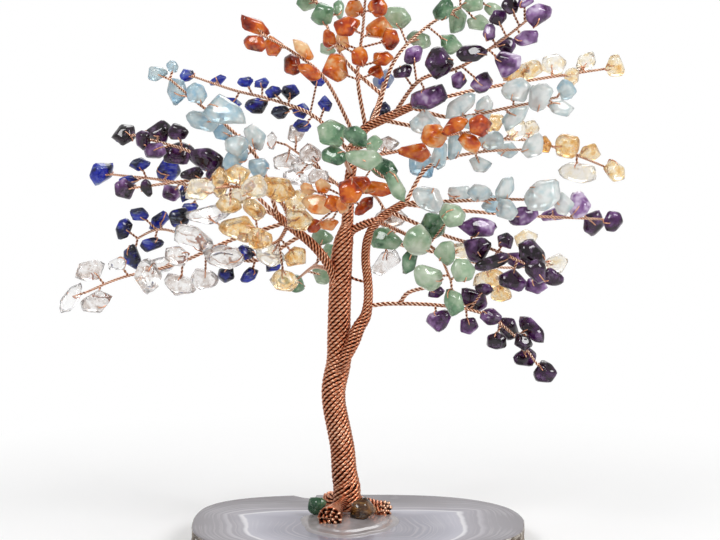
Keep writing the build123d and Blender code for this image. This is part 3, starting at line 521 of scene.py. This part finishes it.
def chip_form(corners, triangles, seed, gem):
    """The chip's middle, and its form: outward face directions, each face's distance, seed and edge power."""
    middle = corners.mean(axis=0)
    normals = normals_of(corners, triangles)
    offsets = ((corners[triangles[:, 0]] - middle) * normals).sum(axis=1)
    table = np.unique(np.round(np.column_stack([normals, offsets / MM]), 2), axis=0)
    return middle, (unit(table[:, :3]), table[:, 3] * MM, seed, SHARP_POWER.get(gem, CHIP_POWER))


def tumbled(directions, form):
    """Distance from the middle to the tumbled skin: (sum of max(0, n.d / h)^p / 5)^(-1/p), softly dented."""
    normals, offsets, seed, power = form
    toward = np.maximum(directions @ normals.T / offsets, 0)
    distance = ((toward**power).sum(axis=-1) / CORNER_FACES) ** (-1 / power)
    x, y, z = np.moveaxis(directions, -1, 0)
    wave = np.sin(3.1 * x + seed) * np.sin(3.7 * y + 2.3 * seed) + 0.5 * np.sin(5.3 * z + 1.7 * seed)
    return distance * (1 - CHIP_DENT * (0.5 + wave / 3))


def chip_axes(corners, middle):
    """Three square directions, the chip's thinnest last."""
    _, _, axes = np.linalg.svd(corners - middle)
    axes[2] = np.cross(axes[0], axes[1])
    return axes


def chip_grid(middle, axes, form, tone):
    """A chip as a stack: polar angle down the rows, the turn round the thin axis along the columns."""
    polar = np.linspace(0, np.pi, CHIP_ROWS + 2)[1:-1, None]
    turn = np.arange(CHIP_COLUMNS) * 2 * np.pi / CHIP_COLUMNS
    local = np.stack(np.broadcast_arrays(np.sin(polar) * np.cos(turn), -np.sin(polar) * np.sin(turn),
                                         np.cos(polar)), axis=-1)
    directions = local @ axes
    points = middle + directions * tumbled(directions, form)[..., None]
    poles = np.stack([axes[2], -axes[2]])
    ends = middle + poles * tumbled(poles, form)[:, None]
    return points[None], ends[None], np.full((1, CHIP_ROWS, CHIP_COLUMNS), tone)


# %% [markdown]
# ## Wire twigs
# Each chip is drilled. A wire goes through the hole, both of its ends are bent down over the chip's rim, and
# the two are twisted together into a twig that joins the branch. So a twig is two strands, and each carries
# on as a bail that hugs the chip from its rim to its hole, one on the front and one on the back.

# %% Twigs, bails and branches
WIRE_SIDES = 5
SPINE_STRANDS = 3
SPINE_SHARE = 0.47
SPINE_LEAN = np.radians(27)
SPINE_GIRTH = 0.76
SPINE_STEP = 0.25 * MM
SPINE_SEAT_SHARE = 0.75
TWIG_WIRE = 0.2 * MM
TWIG_LEAN = np.radians(30)
TWIG_STEPS = 26
BAIL_STEPS = 9
BAIL_WIRE = 0.2 * MM
HOLE_PLACE = 0.62
TWIG_JOIN = 1.6 * MM
# The thin wires are brighter copper: this raises their tone, painted highlight and painted shade alike
THIN_BRIGHT = 1.35


def square_lead(direction):
    """A level direction square to this one."""
    level = np.cross(direction, [0, 0, 1.0])
    return unit(level) if np.linalg.norm(level) > 1e-6 else np.array([1.0, 0, 0])


def off_bend(line):
    """The direction most nearly square to a whole bent line: the weakest singular direction of its steps."""
    return np.linalg.svd(np.diff(line, axis=0), full_matrices=False)[2][-1]


def twisted_pair(root, rim):
    """The twig as a stack of two strands from the branch to the chip's rim."""
    share = np.linspace(0, 1, TWIG_STEPS)[:, None]
    line = np.column_stack([root + share * (rim - root), np.full(TWIG_STEPS, 2 * TWIG_WIRE)])
    reach = share[:, 0] * np.linalg.norm(rim - root)
    lead = square_lead(rim - root)
    return strands(line, reach, lead, 2, TWIG_WIRE, THIN_SIDES, TWIG_LEAN, groove=THIN_GROOVE, bright=THIN_BRIGHT)


def bails(middle, axes, form, toward):
    """Two wires over the chip: directions swing from the rim to the hole, just above the skin, then sink in."""
    swing = np.linspace(0, 1, BAIL_STEPS)[:, None]
    sides = np.stack([axes[2], -axes[2]])[:, None]
    hole = unit(HOLE_PLACE * sides + (1 - HOLE_PLACE) * toward)
    directions = unit((1 - swing) * toward + swing * hole)
    above = BAIL_WIRE * (0.7 - 2.6 * ease(swing, 0.8, 1.0))
    path = middle + directions * (tumbled(directions, form)[..., None] + above)
    forward = unit(np.gradient(path, axis=1))
    outward = unit(directions - forward * (directions * forward).sum(axis=-1, keepdims=True))
    sideways = np.cross(forward, outward)
    angle = np.arange(WIRE_SIDES) * 2 * np.pi / WIRE_SIDES
    points = path[:, :, None] + BAIL_WIRE * (np.cos(angle)[:, None] * outward[:, :, None]
                                             + np.sin(angle)[:, None] * sideways[:, :, None])
    # Painted light: a painted highlight on the bail's outer side and painted shade on the side against the stone
    tone = np.broadcast_to(0.72 + 0.2 * np.cos(angle), points.shape[:3])
    return points, path[:, [0, -1]], tone


# %% [markdown]
# ## Gemstones
# Tumbled stone is polished to a wet gloss. What tells the kinds apart is colour and how far light goes in.
# Quartz and citrine are nearly clear, amethyst and aquamarine cloudy, carnelian glows at its thin edges, and
# aventurine and lapis stop light near the skin. Each kind's colours run from deep to pale, by patches of a few
# millimetres and by a tone of each chip's own, with veils or specks on top.

# %% Gem materials
def gemstone(name, stops, clear, patch_mm, uneven, veil, veil_mm, veil_share, stretch=(1, 1, 1), fine=2.0):
    """A polished stone: a ramp over chip tone and patches, with a veil of another colour where noise is high."""
    material = new_material(name)
    tone = add(material, "ShaderNodeAttribute", attribute_name="tone").outputs["Fac"]
    patches = spread(material, patch_mm, detail=fine, twist=0.7)
    level = add(material, "ShaderNodeMath", {0: patches, 1: uneven, 2: tone},
                operation="MULTIPLY_ADD").outputs[0]
    level = add(material, "ShaderNodeMath", {0: level, 1: uneven / 2}, operation="SUBTRACT").outputs[0]
    body = add(material, "ShaderNodeValToRGB", {"Fac": level}, stops).outputs["Color"]
    wisps = spread(material, veil_mm, detail=fine + 1, rough=0.6, stretch=stretch, twist=1.9)
    cover = add(material, "ShaderNodeMapRange", {"Value": wisps, "From Min": 0.54, "From Max": 0.7,
                                                 "To Max": veil_share}).outputs[0]
    colour = add(material, "ShaderNodeMix", {0: cover, 6: body, 7: linear(veil)}, data_type="RGBA").outputs[2]
    sockets = {"Base Color": colour, "Roughness": 0.07, "IOR": 1.54, "Transmission Weight": clear}
    return finish_with(material, add(material, "ShaderNodeBsdfPrincipled", sockets))


GEMS = {
    "amethyst": gemstone("polished_amethyst", [(0.0, "#0A0308"), (0.3, "#240A20"), (0.6, "#50245C"),
                                               (0.82, "#8F659F"), (1.0, "#D4C1DE")],
                         0.2, 4.5, 2.0, "#A888B5", 2.2, 0.35),
    "lapis": gemstone("polished_lapis_lazuli", [(0.0, "#04040F"), (0.3, "#0B0E44"), (0.6, "#1D2AA6"),
                                                (0.85, "#4458B4"), (1.0, "#93A1BC")],
                      0.0, 4.0, 2.2, "#8E9AAE", 1.8, 0.5, (0.4, 1, 1.8)),
    "aquamarine": gemstone("polished_aquamarine", [(0.0, "#85B9DB"), (0.35, "#B6D2DE"), (0.7, "#D6E3E3"),
                                                   (1.0, "#F5F7F5")],
                           0.45, 3.5, 2.0, "#F4F6F5", 2.0, 0.5),
    "citrine": gemstone("polished_citrine", [(0.0, "#E2A042"), (0.3, "#F6D08C"), (0.6, "#FDEFCE"),
                                             (1.0, "#FFFDF8")],
                        0.72, 2.2, 2.6, "#FFFCF4", 1.0, 0.6, fine=3.0),
    "carnelian": gemstone("polished_carnelian", [(0.0, "#6A1203"), (0.35, "#C24409"), (0.65, "#EC7E18"),
                                                 (1.0, "#F8CE98")],
                          0.25, 3.5, 2.0, "#F0A860", 2.4, 0.3),
    "aventurine": gemstone("polished_green_aventurine", [(0.0, "#2C583A"), (0.3, "#769F7A"), (0.65, "#ADC3A4"),
                                                         (1.0, "#D3DCC8")],
                           0.3, 4.5, 1.6, "#DCE5D2", 1.6, 0.35),
    "quartz": gemstone("polished_clear_quartz", [(0.0, "#B5A398"), (0.2, "#EAE3DF"), (0.45, "#FBFAF9"),
                                                 (1.0, "#FFFFFF")],
                       0.85, 2.0, 2.4, "#FFFFFF", 0.9, 0.9, (0.3, 1, 1.6), 4.0),
    "tiger_eye": gemstone("polished_tiger_eye", [(0.0, "#1B0E07"), (0.4, "#4A2C14"), (0.75, "#8F5F28"),
                                                 (1.0, "#C89A58")],
                          0.0, 3.0, 1.8, "#D9A860", 0.9, 0.5, (0.25, 1, 3)),
}

# %% [markdown]
# ## Dressing the branches
# Each branch is a body that bends at its fork, so its wires and its stones are one object each. Tones are
# uneven but fixed. Some branches are paler or darker than others of their kind, and a few chips that are
# plainly darker or paler than the rest are told by their number.

# %% Branches
ODD_CHIPS = {
    "carnelian_upper_left": {3: 0.05, 4: 0.95}, "carnelian_top": {2: 0.95, 6: 0.75},
    "amethyst_upper_right": {5: 0.8}, "citrine_upper_right": {4: 0.95},
    "aquamarine_upper_right": {3: 0.95, 7: 0.9},
    "citrine_right": {3: 0.0, 6: 1.0}, "aquamarine_right": {0: 0.25}, "aquamarine_low_right": {7: 1.0},
    "aventurine_right": {4: 0.0}, "citrine_low_right": {4: 0.95}, "aventurine_centre": {1: 0.05, 5: 0.1},
    "carnelian_centre": {0: 0.7, 2: 0.95}, "lapis_upper": {8: 0.0, 13: 1.0}, "citrine_left": {10: 0.95},
}
PALER_BRANCHES = {"aquamarine_upper_right": 0.2, "aquamarine_right": 0.3, "aquamarine_low_right": 0.25,
                  "aquamarine_left": -0.05, "amethyst_left": -0.1, "amethyst_right": 0.3,
                  "amethyst_low_right": -0.04,
                  "citrine_upper_right": 0.1, "citrine_right": 0.1, "quartz_back": -0.25}
CHIP_TONE = 0.2
CHIP_TONE_RANGE = 0.55
CHIPS_AT_MOST = 40


def scatter(seed):
    """A fixed, uneven value from 0 to 1 for each number: the fraction of a large sine."""
    return (np.sin(seed * 12.9898) * 43758.5453) % 1.0


def nearest(line, place):
    """The point of a line of points that is nearest to a place."""
    return line[np.linalg.norm(line - place, axis=1).argmin()]


def last_twig(line, twig_ends):
    """The number of the line's point just past the last twig that joins it, so that no bare end sticks out."""
    apart = np.linalg.norm(twig_ends[:, None] - line, axis=-1)
    joins = apart[apart.min(axis=1) < TWIG_JOIN].argmin(axis=1)
    return min(len(line), joins.max() + 3)


def dress_branch(branch, seed):
    """Strands along the spines, a twisted twig and two bails for every chip, and the tumbled chips."""
    wires, stones = [], []
    spines, twigs = [], []
    for corners, triangles in solids_of(f"{branch}_wire"):
        if len(corners) == 2 * WIRE_SIDES:
            twigs.append(middle_line(corners, triangles, WIRE_SIDES)[:, :3])
        else:
            knots = middle_line(corners, triangles, WIRE_SIDES)
            knots = knots if knots[0, 3] > knots[-1, 3] else knots[::-1]
            carriers = rope_middles + [line[:, :3] for line, _ in spines]
            knots[0, :3] += SPINE_SEAT_SHARE * (nearest(np.concatenate(carriers), knots[0, :3]) - knots[0, :3])
            spines.append(smooth_line(knots * [1, 1, 1, SPINE_GIRTH], SPINE_STEP))
    twigs = np.array(twigs)
    for line, reach in spines:
        end = last_twig(line[:, :3], twigs.reshape(-1, 3))
        line, reach = line[:end], reach[:end]
        lead = off_bend(line[:, :3])
        wires.append(strands(line, reach, lead, SPINE_STRANDS, SPINE_SHARE * line[:, 3], THIN_SIDES, SPINE_LEAN,
                             groove=THIN_GROOVE, bright=THIN_BRIGHT))
    every_spine = np.concatenate([line[:, :3] for line, _ in spines])
    gem = branch.split("_")[0]
    for number, (corners, triangles) in enumerate(solids_of(f"{branch}_stones")):
        own = seed * CHIPS_AT_MOST + number
        middle, form = chip_form(corners, triangles, own, gem)
        axes = chip_axes(corners, middle)
        gaps = ((twigs - middle) @ form[0].T - form[1]).max(axis=-1)
        twig, end = np.unravel_index(gaps.argmin(), gaps.shape)
        toward = unit(twigs[twig, end] - middle)
        rim = middle + toward * tumbled(toward, form)
        root = nearest(every_spine, twigs[twig, 1 - end])
        wires += [twisted_pair(root, rim), bails(middle, axes, form, toward)]
        tone = CHIP_TONE + CHIP_TONE_RANGE * scatter(own) + PALER_BRANCHES.get(branch, 0)
        stones.append(chip_grid(middle, axes, form, ODD_CHIPS.get(branch, {}).get(number, tone)))
    body = f"{branch}_branch"
    make_piece(f"{branch}_twisted_wire", wires, copper, body, [f"{branch}_wire"])
    make_piece(f"{branch}_chips", stones, GEMS[gem], body, [f"{branch}_stones"])


branches = sorted(name[:-len("_branch")] for name in frame["bodies"] if name.endswith("_branch"))
for seed, branch in enumerate(branches):
    dress_branch(branch, seed)
print("branches", len(branches))

# %% [markdown]
# ## Stones at the roots
# Two larger stones are glued between the cut roots, one green and one brown. The brown one's tone rises
# from its left to its right.

# %% Root stones
ROOT_STONES = {"root_stone_aventurine": ("aventurine", 0.02, 0.0),
               "root_stone_tiger_eye": ("tiger_eye", 0.3, 0.6)}
ROOT_SEED = 900
for seed, (node, (gem, tone, rise)) in enumerate(ROOT_STONES.items()):
    corners, triangles = solids_of(node)[0]
    middle, form = chip_form(corners, triangles, ROOT_SEED + seed, gem)
    points, ends, tones = chip_grid(middle, chip_axes(corners, middle), form, tone)
    tones = tones + rise * (points[..., 0] - middle[0]) / np.ptp(corners[:, 0])
    make_piece(f"{node}_tumbled", [(points, ends, tones)], GEMS[gem], "base_and_trunk", [node])

# %% [markdown]
# ## The agate slice
# The base is a slice sawn from an agate nodule. Its top is polished, and shows the bands that grew inward from
# the rind; its edge is the rough rind itself. The form is a profile carried round the outline: out over the
# underside, up the rough wall, over a small polished arris and in across the top. The tone is the share of the
# way out from the middle, so that the outer bands follow the outline; they crowd to the front, where the
# nodule's heart lay. Inner bands run straight between corners, as where crystals met, so there the share is
# measured as on a five-sided figure.

# %% Agate form
AGATE_COLUMNS = 420
AGATE_WALL_ROWS = 14
AGATE_TOP_ROWS = 26
RIND_DEPTH = 1.1 * MM
ARRIS = 0.5 * MM
NICK_X = -16.2 * MM
NICK_WIDE = 3.2 * MM
NICK_DEEP = 5.0 * MM
NICK_TALL = 3.0 * MM
BAND_SIDES = 5
BAND_TURN = np.radians(22)


def agate_edge(level):
    """The slice's outline at a level, as radius over angle, read from the solid's corners there."""
    corners = np.concatenate([solid[0] for solid in solids_of("agate_slice")])
    corners = corners[np.abs(corners[:, 2] - level) < LEVEL_GAP]
    angle = np.arctan2(corners[:, 1], corners[:, 0])
    radius = np.hypot(corners[:, 0], corners[:, 1])
    outer = radius > 0.7 * radius.max()
    order = np.argsort(angle[outer])
    turn = np.arange(AGATE_COLUMNS) * 2 * np.pi / AGATE_COLUMNS - np.pi
    return turn, np.interp(turn, angle[outer][order], radius[outer][order], period=2 * np.pi)


turn, low_edge = agate_edge(0.0)
_, high_edge = agate_edge(AGATE_TOP)
high_edge = low_edge * np.median(high_edge / low_edge)
nick_gap = np.where(np.sin(turn) > 0, np.cos(turn) * high_edge - NICK_X, 1.0)
rise = np.linspace(0, 1, AGATE_WALL_ROWS)
wall = low_edge + (high_edge - low_edge) * rise[:, None]
grit = (np.sin(47 * turn + 5 * rise[:, None]) * np.sin(31 * turn - 9 * rise[:, None])
        + np.sin(113 * turn + 11 * rise[:, None]) * np.sin(17 * rise[:, None] + 71 * turn)
        + 0.7 * np.sin(19 * turn + 4 * rise[:, None]))
fading = ease(rise, 0, 0.15)[:, None] * (1 - 0.9 * ease(rise, 0.8, 1.0))[:, None]
inward = RIND_DEPTH * (0.5 + grit / 5.4) * fading
wall = wall - inward
down = (1 - rise)[:, None] * (AGATE_TOP - ARRIS)
wall = wall - NICK_DEEP * np.sqrt(np.maximum(1 - (nick_gap / NICK_WIDE)**2 - (down / NICK_TALL)**2, 0))
top_share = 1 - np.linspace(0, 1, AGATE_TOP_ROWS + 1)[:-1, None] ** 1.3
rim = wall[-1] - ARRIS
radius = np.vstack([low_edge * 0.5, wall, rim * top_share])
level = np.concatenate([[0], rise * (AGATE_TOP - ARRIS), np.full(AGATE_TOP_ROWS, AGATE_TOP)])
level[1] = 0
points = np.stack(np.broadcast_arrays(radius * np.cos(turn), radius * np.sin(turn), level[:, None]), axis=-1)
share = radius / high_edge
side = 2 * np.pi / BAND_SIDES
straight = np.cos((turn - BAND_TURN) % side - side / 2)
straight = 1 + (straight / straight.mean() - 1) * (1 - ease(share, 0.7, 1))
tone = share * straight * (1 + np.maximum(1 - share, 0) * np.sin(turn))
ends = np.array([[[0, 0, 0], [0, 0, AGATE_TOP]]])
print("slice", np.round(np.ptp(points.reshape(-1, 3), axis=0) / MM, 1).tolist(), "mm")



# %% [markdown]
# Agate is quartz laid down in thin layers, so its polish is glassy and its bands are soft greys and whites.
# The bands are drawn on the tone, bent a little by slow noise. The rind outside is brown and chalky.

# %% Agate finish
AGATE_BANDS = [(0.0, "#96949F"), (0.3, "#918F9B"), (0.45, "#9E9DAA"), (0.58, "#B4B3C0"), (0.64, "#BCBBC7"),
               (0.652, "#E9E8EC"), (0.667, "#DAD9DF"), (0.683, "#A5A2AB"), (0.75, "#9B979F"), (0.765, "#B9B6BD"),
               (0.78, "#AAA6AE"), (0.8, "#9A969D"), (0.9, "#908C92"), (1.0, "#858085")]
RIND_TONES = [(0.3, "#2A211B"), (0.5, "#5E5043"), (0.7, "#A3988A")]


def banded_agate():
    """Polished agate: bands of grey, lavender and white by the share of the way out, and a rough rind."""
    material = new_material("polished_banded_agate")
    tone = add(material, "ShaderNodeAttribute", attribute_name="tone").outputs["Fac"]
    bend = spread(material, 26.0, detail=4.0)
    bent = add(material, "ShaderNodeMath", {0: bend, 1: 0.1, 2: tone}, operation="MULTIPLY_ADD").outputs[0]
    share = add(material, "ShaderNodeMath", {0: bent, 1: 0.05}, operation="SUBTRACT").outputs[0]
    broad = add(material, "ShaderNodeValToRGB", {"Fac": share}, AGATE_BANDS).outputs["Color"]
    rings = add(material, "ShaderNodeTexNoise", {"W": share, "Scale": 42.0, "Detail": 3.0, "Roughness": 0.6},
                noise_dimensions="1D").outputs["Fac"]
    fade = spread(material, 18.0, detail=1.0)
    faint = add(material, "ShaderNodeMath", {0: rings, 1: fade}, operation="MULTIPLY").outputs[0]
    thin = add(material, "ShaderNodeMapRange", {"Value": faint, "From Min": 0.24, "From Max": 0.4,
                                                "To Max": 0.25}).outputs[0]
    banded = add(material, "ShaderNodeMix", {0: thin, 6: broad, 7: linear("#D9D6DC")},
                 data_type="RGBA").outputs[2]
    side = add(material, "ShaderNodeNewGeometry").outputs["Normal"]
    upright = add(material, "ShaderNodeSeparateXYZ", {0: side}).outputs["Z"]
    is_rind = add(material, "ShaderNodeMapRange", {"Value": upright, "From Min": 0.75,
                                                   "From Max": 0.35}).outputs[0]
    crumbs = spread(material, 1.3, detail=5.0, rough=0.7)
    stains = spread(material, 7.0)
    weathered = add(material, "ShaderNodeValToRGB", {"Fac": stains}, RIND_TONES).outputs["Color"]
    crystal = add(material, "ShaderNodeMapRange", {"Value": crumbs, "From Min": 0.5, "From Max": 0.64,
                                                   "To Max": 0.85}).outputs[0]
    rind = add(material, "ShaderNodeMix", {0: crystal, 6: weathered, 7: linear("#EDE8E0")},
               data_type="RGBA").outputs[2]
    colour = add(material, "ShaderNodeMix", {0: is_rind, 6: banded, 7: rind}, data_type="RGBA").outputs[2]
    rough = add(material, "ShaderNodeMapRange", {"Value": is_rind, "To Min": 0.16, "To Max": 0.75}).outputs[0]
    lift = add(material, "ShaderNodeMath", {0: crumbs, 1: is_rind}, operation="MULTIPLY").outputs[0]
    bump = add(material, "ShaderNodeBump", {"Height": lift, "Distance": 0.5 * MM, "Strength": 0.6}).outputs[0]
    shader = add(material, "ShaderNodeBsdfPrincipled", {"Base Color": colour, "Roughness": rough, "IOR": 1.54,
                                                        "Normal": bump})
    return finish_with(material, shader)


make_piece("agate_polished_slice", [(points[None], ends, tone[None])], banded_agate(), "base_and_trunk",
           ["agate_slice"])

# %% [markdown]
# ## Resin at the roots
# Resin was poured round the roots in two goes and set in a low puddle with two steps. The form is a stepped
# mound over the puddle's outline, which is read from the solid; the roots and stones simply stand in it.

# %% Resin puddle
RESIN_COLUMNS = 96
RESIN_ROWS = 30
RESIN_TONES = [(0.3, "#9C9494"), (0.7, "#B3AEB0")]
# Each rise of the resin: its share of the height, and where it starts and ends on the way in
RESIN_STEPS = [(0.3, 0, 0.06), (0.25, 0.22, 0.32), (0.45, 0.55, 1.0)]


def clear_resin():
    """Cast resin: glossy and milky, so it takes the grey of the agate under it, with slow ripples."""
    material = new_material("cast_clear_resin")
    cloud = spread(material, 6.0)
    colour = add(material, "ShaderNodeValToRGB", {"Fac": cloud}, RESIN_TONES).outputs["Color"]
    ripple = spread(material, 3.0, detail=2.0)
    bump = add(material, "ShaderNodeBump", {"Height": ripple, "Distance": 0.3 * MM,
                                             "Strength": 0.25}).outputs[0]
    shader = add(material, "ShaderNodeBsdfPrincipled", {"Base Color": colour, "Roughness": 0.16, "IOR": 1.5,
                                                        "Transmission Weight": 0.12, "Normal": bump})
    return finish_with(material, shader)


resin_low, resin_high = (np.array(corner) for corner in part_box("glue_pad"))
resin_corners = np.concatenate([solid[0] for solid in solids_of("glue_pad")])
resin_middle = (resin_low + resin_high)[:2] / 2
foot = resin_corners[np.abs(resin_corners[:, 2] - resin_low[2]) < LEVEL_GAP][:, :2] - resin_middle
foot = foot[np.hypot(*(foot / (resin_high - resin_low)[:2]).T) > 0.42]
foot_angle = np.arctan2(foot[:, 1], foot[:, 0])
order = np.argsort(foot_angle)
around = np.arange(RESIN_COLUMNS) * 2 * np.pi / RESIN_COLUMNS - np.pi
outline = np.interp(around, foot_angle[order], np.hypot(*foot[order].T), period=2 * np.pi)
inset = np.linspace(0, 1, RESIN_ROWS)[:, None] ** 1.4
steps = sum(share * ease(inset, start, end) for share, start, end in RESIN_STEPS)
spot = resin_low[2] + (resin_high[2] - resin_low[2]) * steps
out = outline * (1 - 0.97 * inset)
grid = np.stack(np.broadcast_arrays(resin_middle[0] + out * np.cos(around),
                                    resin_middle[1] + out * np.sin(around), spot), axis=-1)
caps = np.array([[[*resin_middle, resin_low[2]], [*resin_middle, resin_high[2]]]])
make_piece("resin_puddle", [(grid[None], caps, np.ones((1, RESIN_ROWS, RESIN_COLUMNS)))], clear_resin(),
           "base_and_trunk", ["glue_pad"])

# %% [markdown]
# ## Studio
# The tree stands on a plain pale floor in soft light: two large lamps of nearly equal power from the
# upper left and right, a weaker one behind, and an even white surround. The surround is white to the eye, and
# dimmer in reflections and as light.

# %% Floor and light
def seen_directly(material):
    """1 for what the eye sees, straight or through a clear stone, and 0 for light that falls on things."""
    ray = add(material, "ShaderNodeLightPath").outputs
    return add(material, "ShaderNodeMath", {0: ray["Is Camera Ray"], 1: ray["Is Transmission Ray"]},
               operation="MAXIMUM").outputs[0]


def pale_floor():
    """Matt white paper that keeps the tree's shadow near it and fades into the white surround farther out."""
    material = new_material("pale_paper_floor")
    paper = add(material, "ShaderNodeBsdfPrincipled", {"Base Color": linear("#F6F6F6"), "Roughness": 0.8})
    white = add(material, "ShaderNodeEmission", {"Color": (1, 1, 1, 1), "Strength": 1.0})
    place = add(material, "ShaderNodeTexCoord").outputs["Object"]
    away = add(material, "ShaderNodeVectorMath", {0: place}, operation="LENGTH").outputs["Value"]
    far = add(material, "ShaderNodeMapRange", {"Value": away, "From Min": 0.06, "From Max": 0.22}).outputs[0]
    fade = add(material, "ShaderNodeMath", {0: far, 1: seen_directly(material)},
               operation="MULTIPLY").outputs[0]
    return finish_with(material, add(material, "ShaderNodeMixShader",
                                     {0: fade, 1: paper.outputs[0], 2: white.outputs[0]}))


FLOOR_HALF = 3.0
mesh = bpy.data.meshes.new("floor")
mesh.from_pydata([(-FLOOR_HALF, -FLOOR_HALF, 0), (FLOOR_HALF, -FLOOR_HALF, 0), (FLOOR_HALF, FLOOR_HALF, 0),
                  (-FLOOR_HALF, FLOOR_HALF, 0)], [], [(0, 1, 2, 3)])
mesh.materials.append(pale_floor())
floor = bpy.data.objects.new("floor", mesh)
bpy.context.scene.collection.objects.link(floor)

world = bpy.data.worlds.new("studio")
bpy.context.scene.world = world
world.use_nodes = True
world.node_tree.nodes.clear()
mirrored = add(world, "ShaderNodeLightPath").outputs["Is Glossy Ray"]
dim = add(world, "ShaderNodeMapRange", {"Value": mirrored, "To Min": 0.4, "To Max": 0.6}).outputs[0]
strength = add(world, "ShaderNodeMath", {0: dim, 1: seen_directly(world)}, operation="MAXIMUM").outputs[0]
surround = add(world, "ShaderNodeBackground", {"Color": (1, 1, 1, 1), "Strength": strength})
add(world, "ShaderNodeOutputWorld", {"Surface": surround.outputs[0]})


def facing(place, aim):
    """The turn that points an object's own -Z from a place to an aim, its Y kept up."""
    return (Vector(aim) - Vector(place)).to_track_quat("-Z", "Y").to_euler()


def soft_lamp(name, place, aim, size, power):
    """A square area lamp at a place, facing an aim; lengths in metres, power in watts."""
    data = bpy.data.lights.new(name, "AREA")
    data.size = size
    data.energy = power
    lamp = bpy.data.objects.new(name, data)
    lamp.location = place
    lamp.rotation_euler = facing(place, aim)
    bpy.context.scene.collection.objects.link(lamp)
    print("lamp", name, power, "W")


CROWN = (0, 0, 0.1)
soft_lamp("upper_left", (-0.7, -0.8, 1.0), CROWN, 0.45, 7)
soft_lamp("upper_right", (0.85, -0.6, 0.8), CROWN, 0.45, 8)
soft_lamp("behind", (0.1, 0.9, 0.9), CROWN, 0.6, 4)

# %% [markdown]
# ## Camera
# The photograph looks a little down at the tree from its front, from about four times its width away.

# %% Camera and finish
EYE = (0, -0.688, 0.170)
LOOK = (0.0012, 0.012, 0.0822)
LENS_MM = 117.6
SENSOR_MM = 36
lens = bpy.data.cameras.new("camera")
lens.lens = LENS_MM
lens.sensor_width = SENSOR_MM
lens.clip_start = 0.01
camera = bpy.data.objects.new("camera", lens)
camera.location = EYE
camera.rotation_euler = facing(EYE, LOOK)
bpy.context.scene.collection.objects.link(camera)
bpy.context.scene.camera = camera
bpy.context.scene.view_settings.view_transform = "Standard"
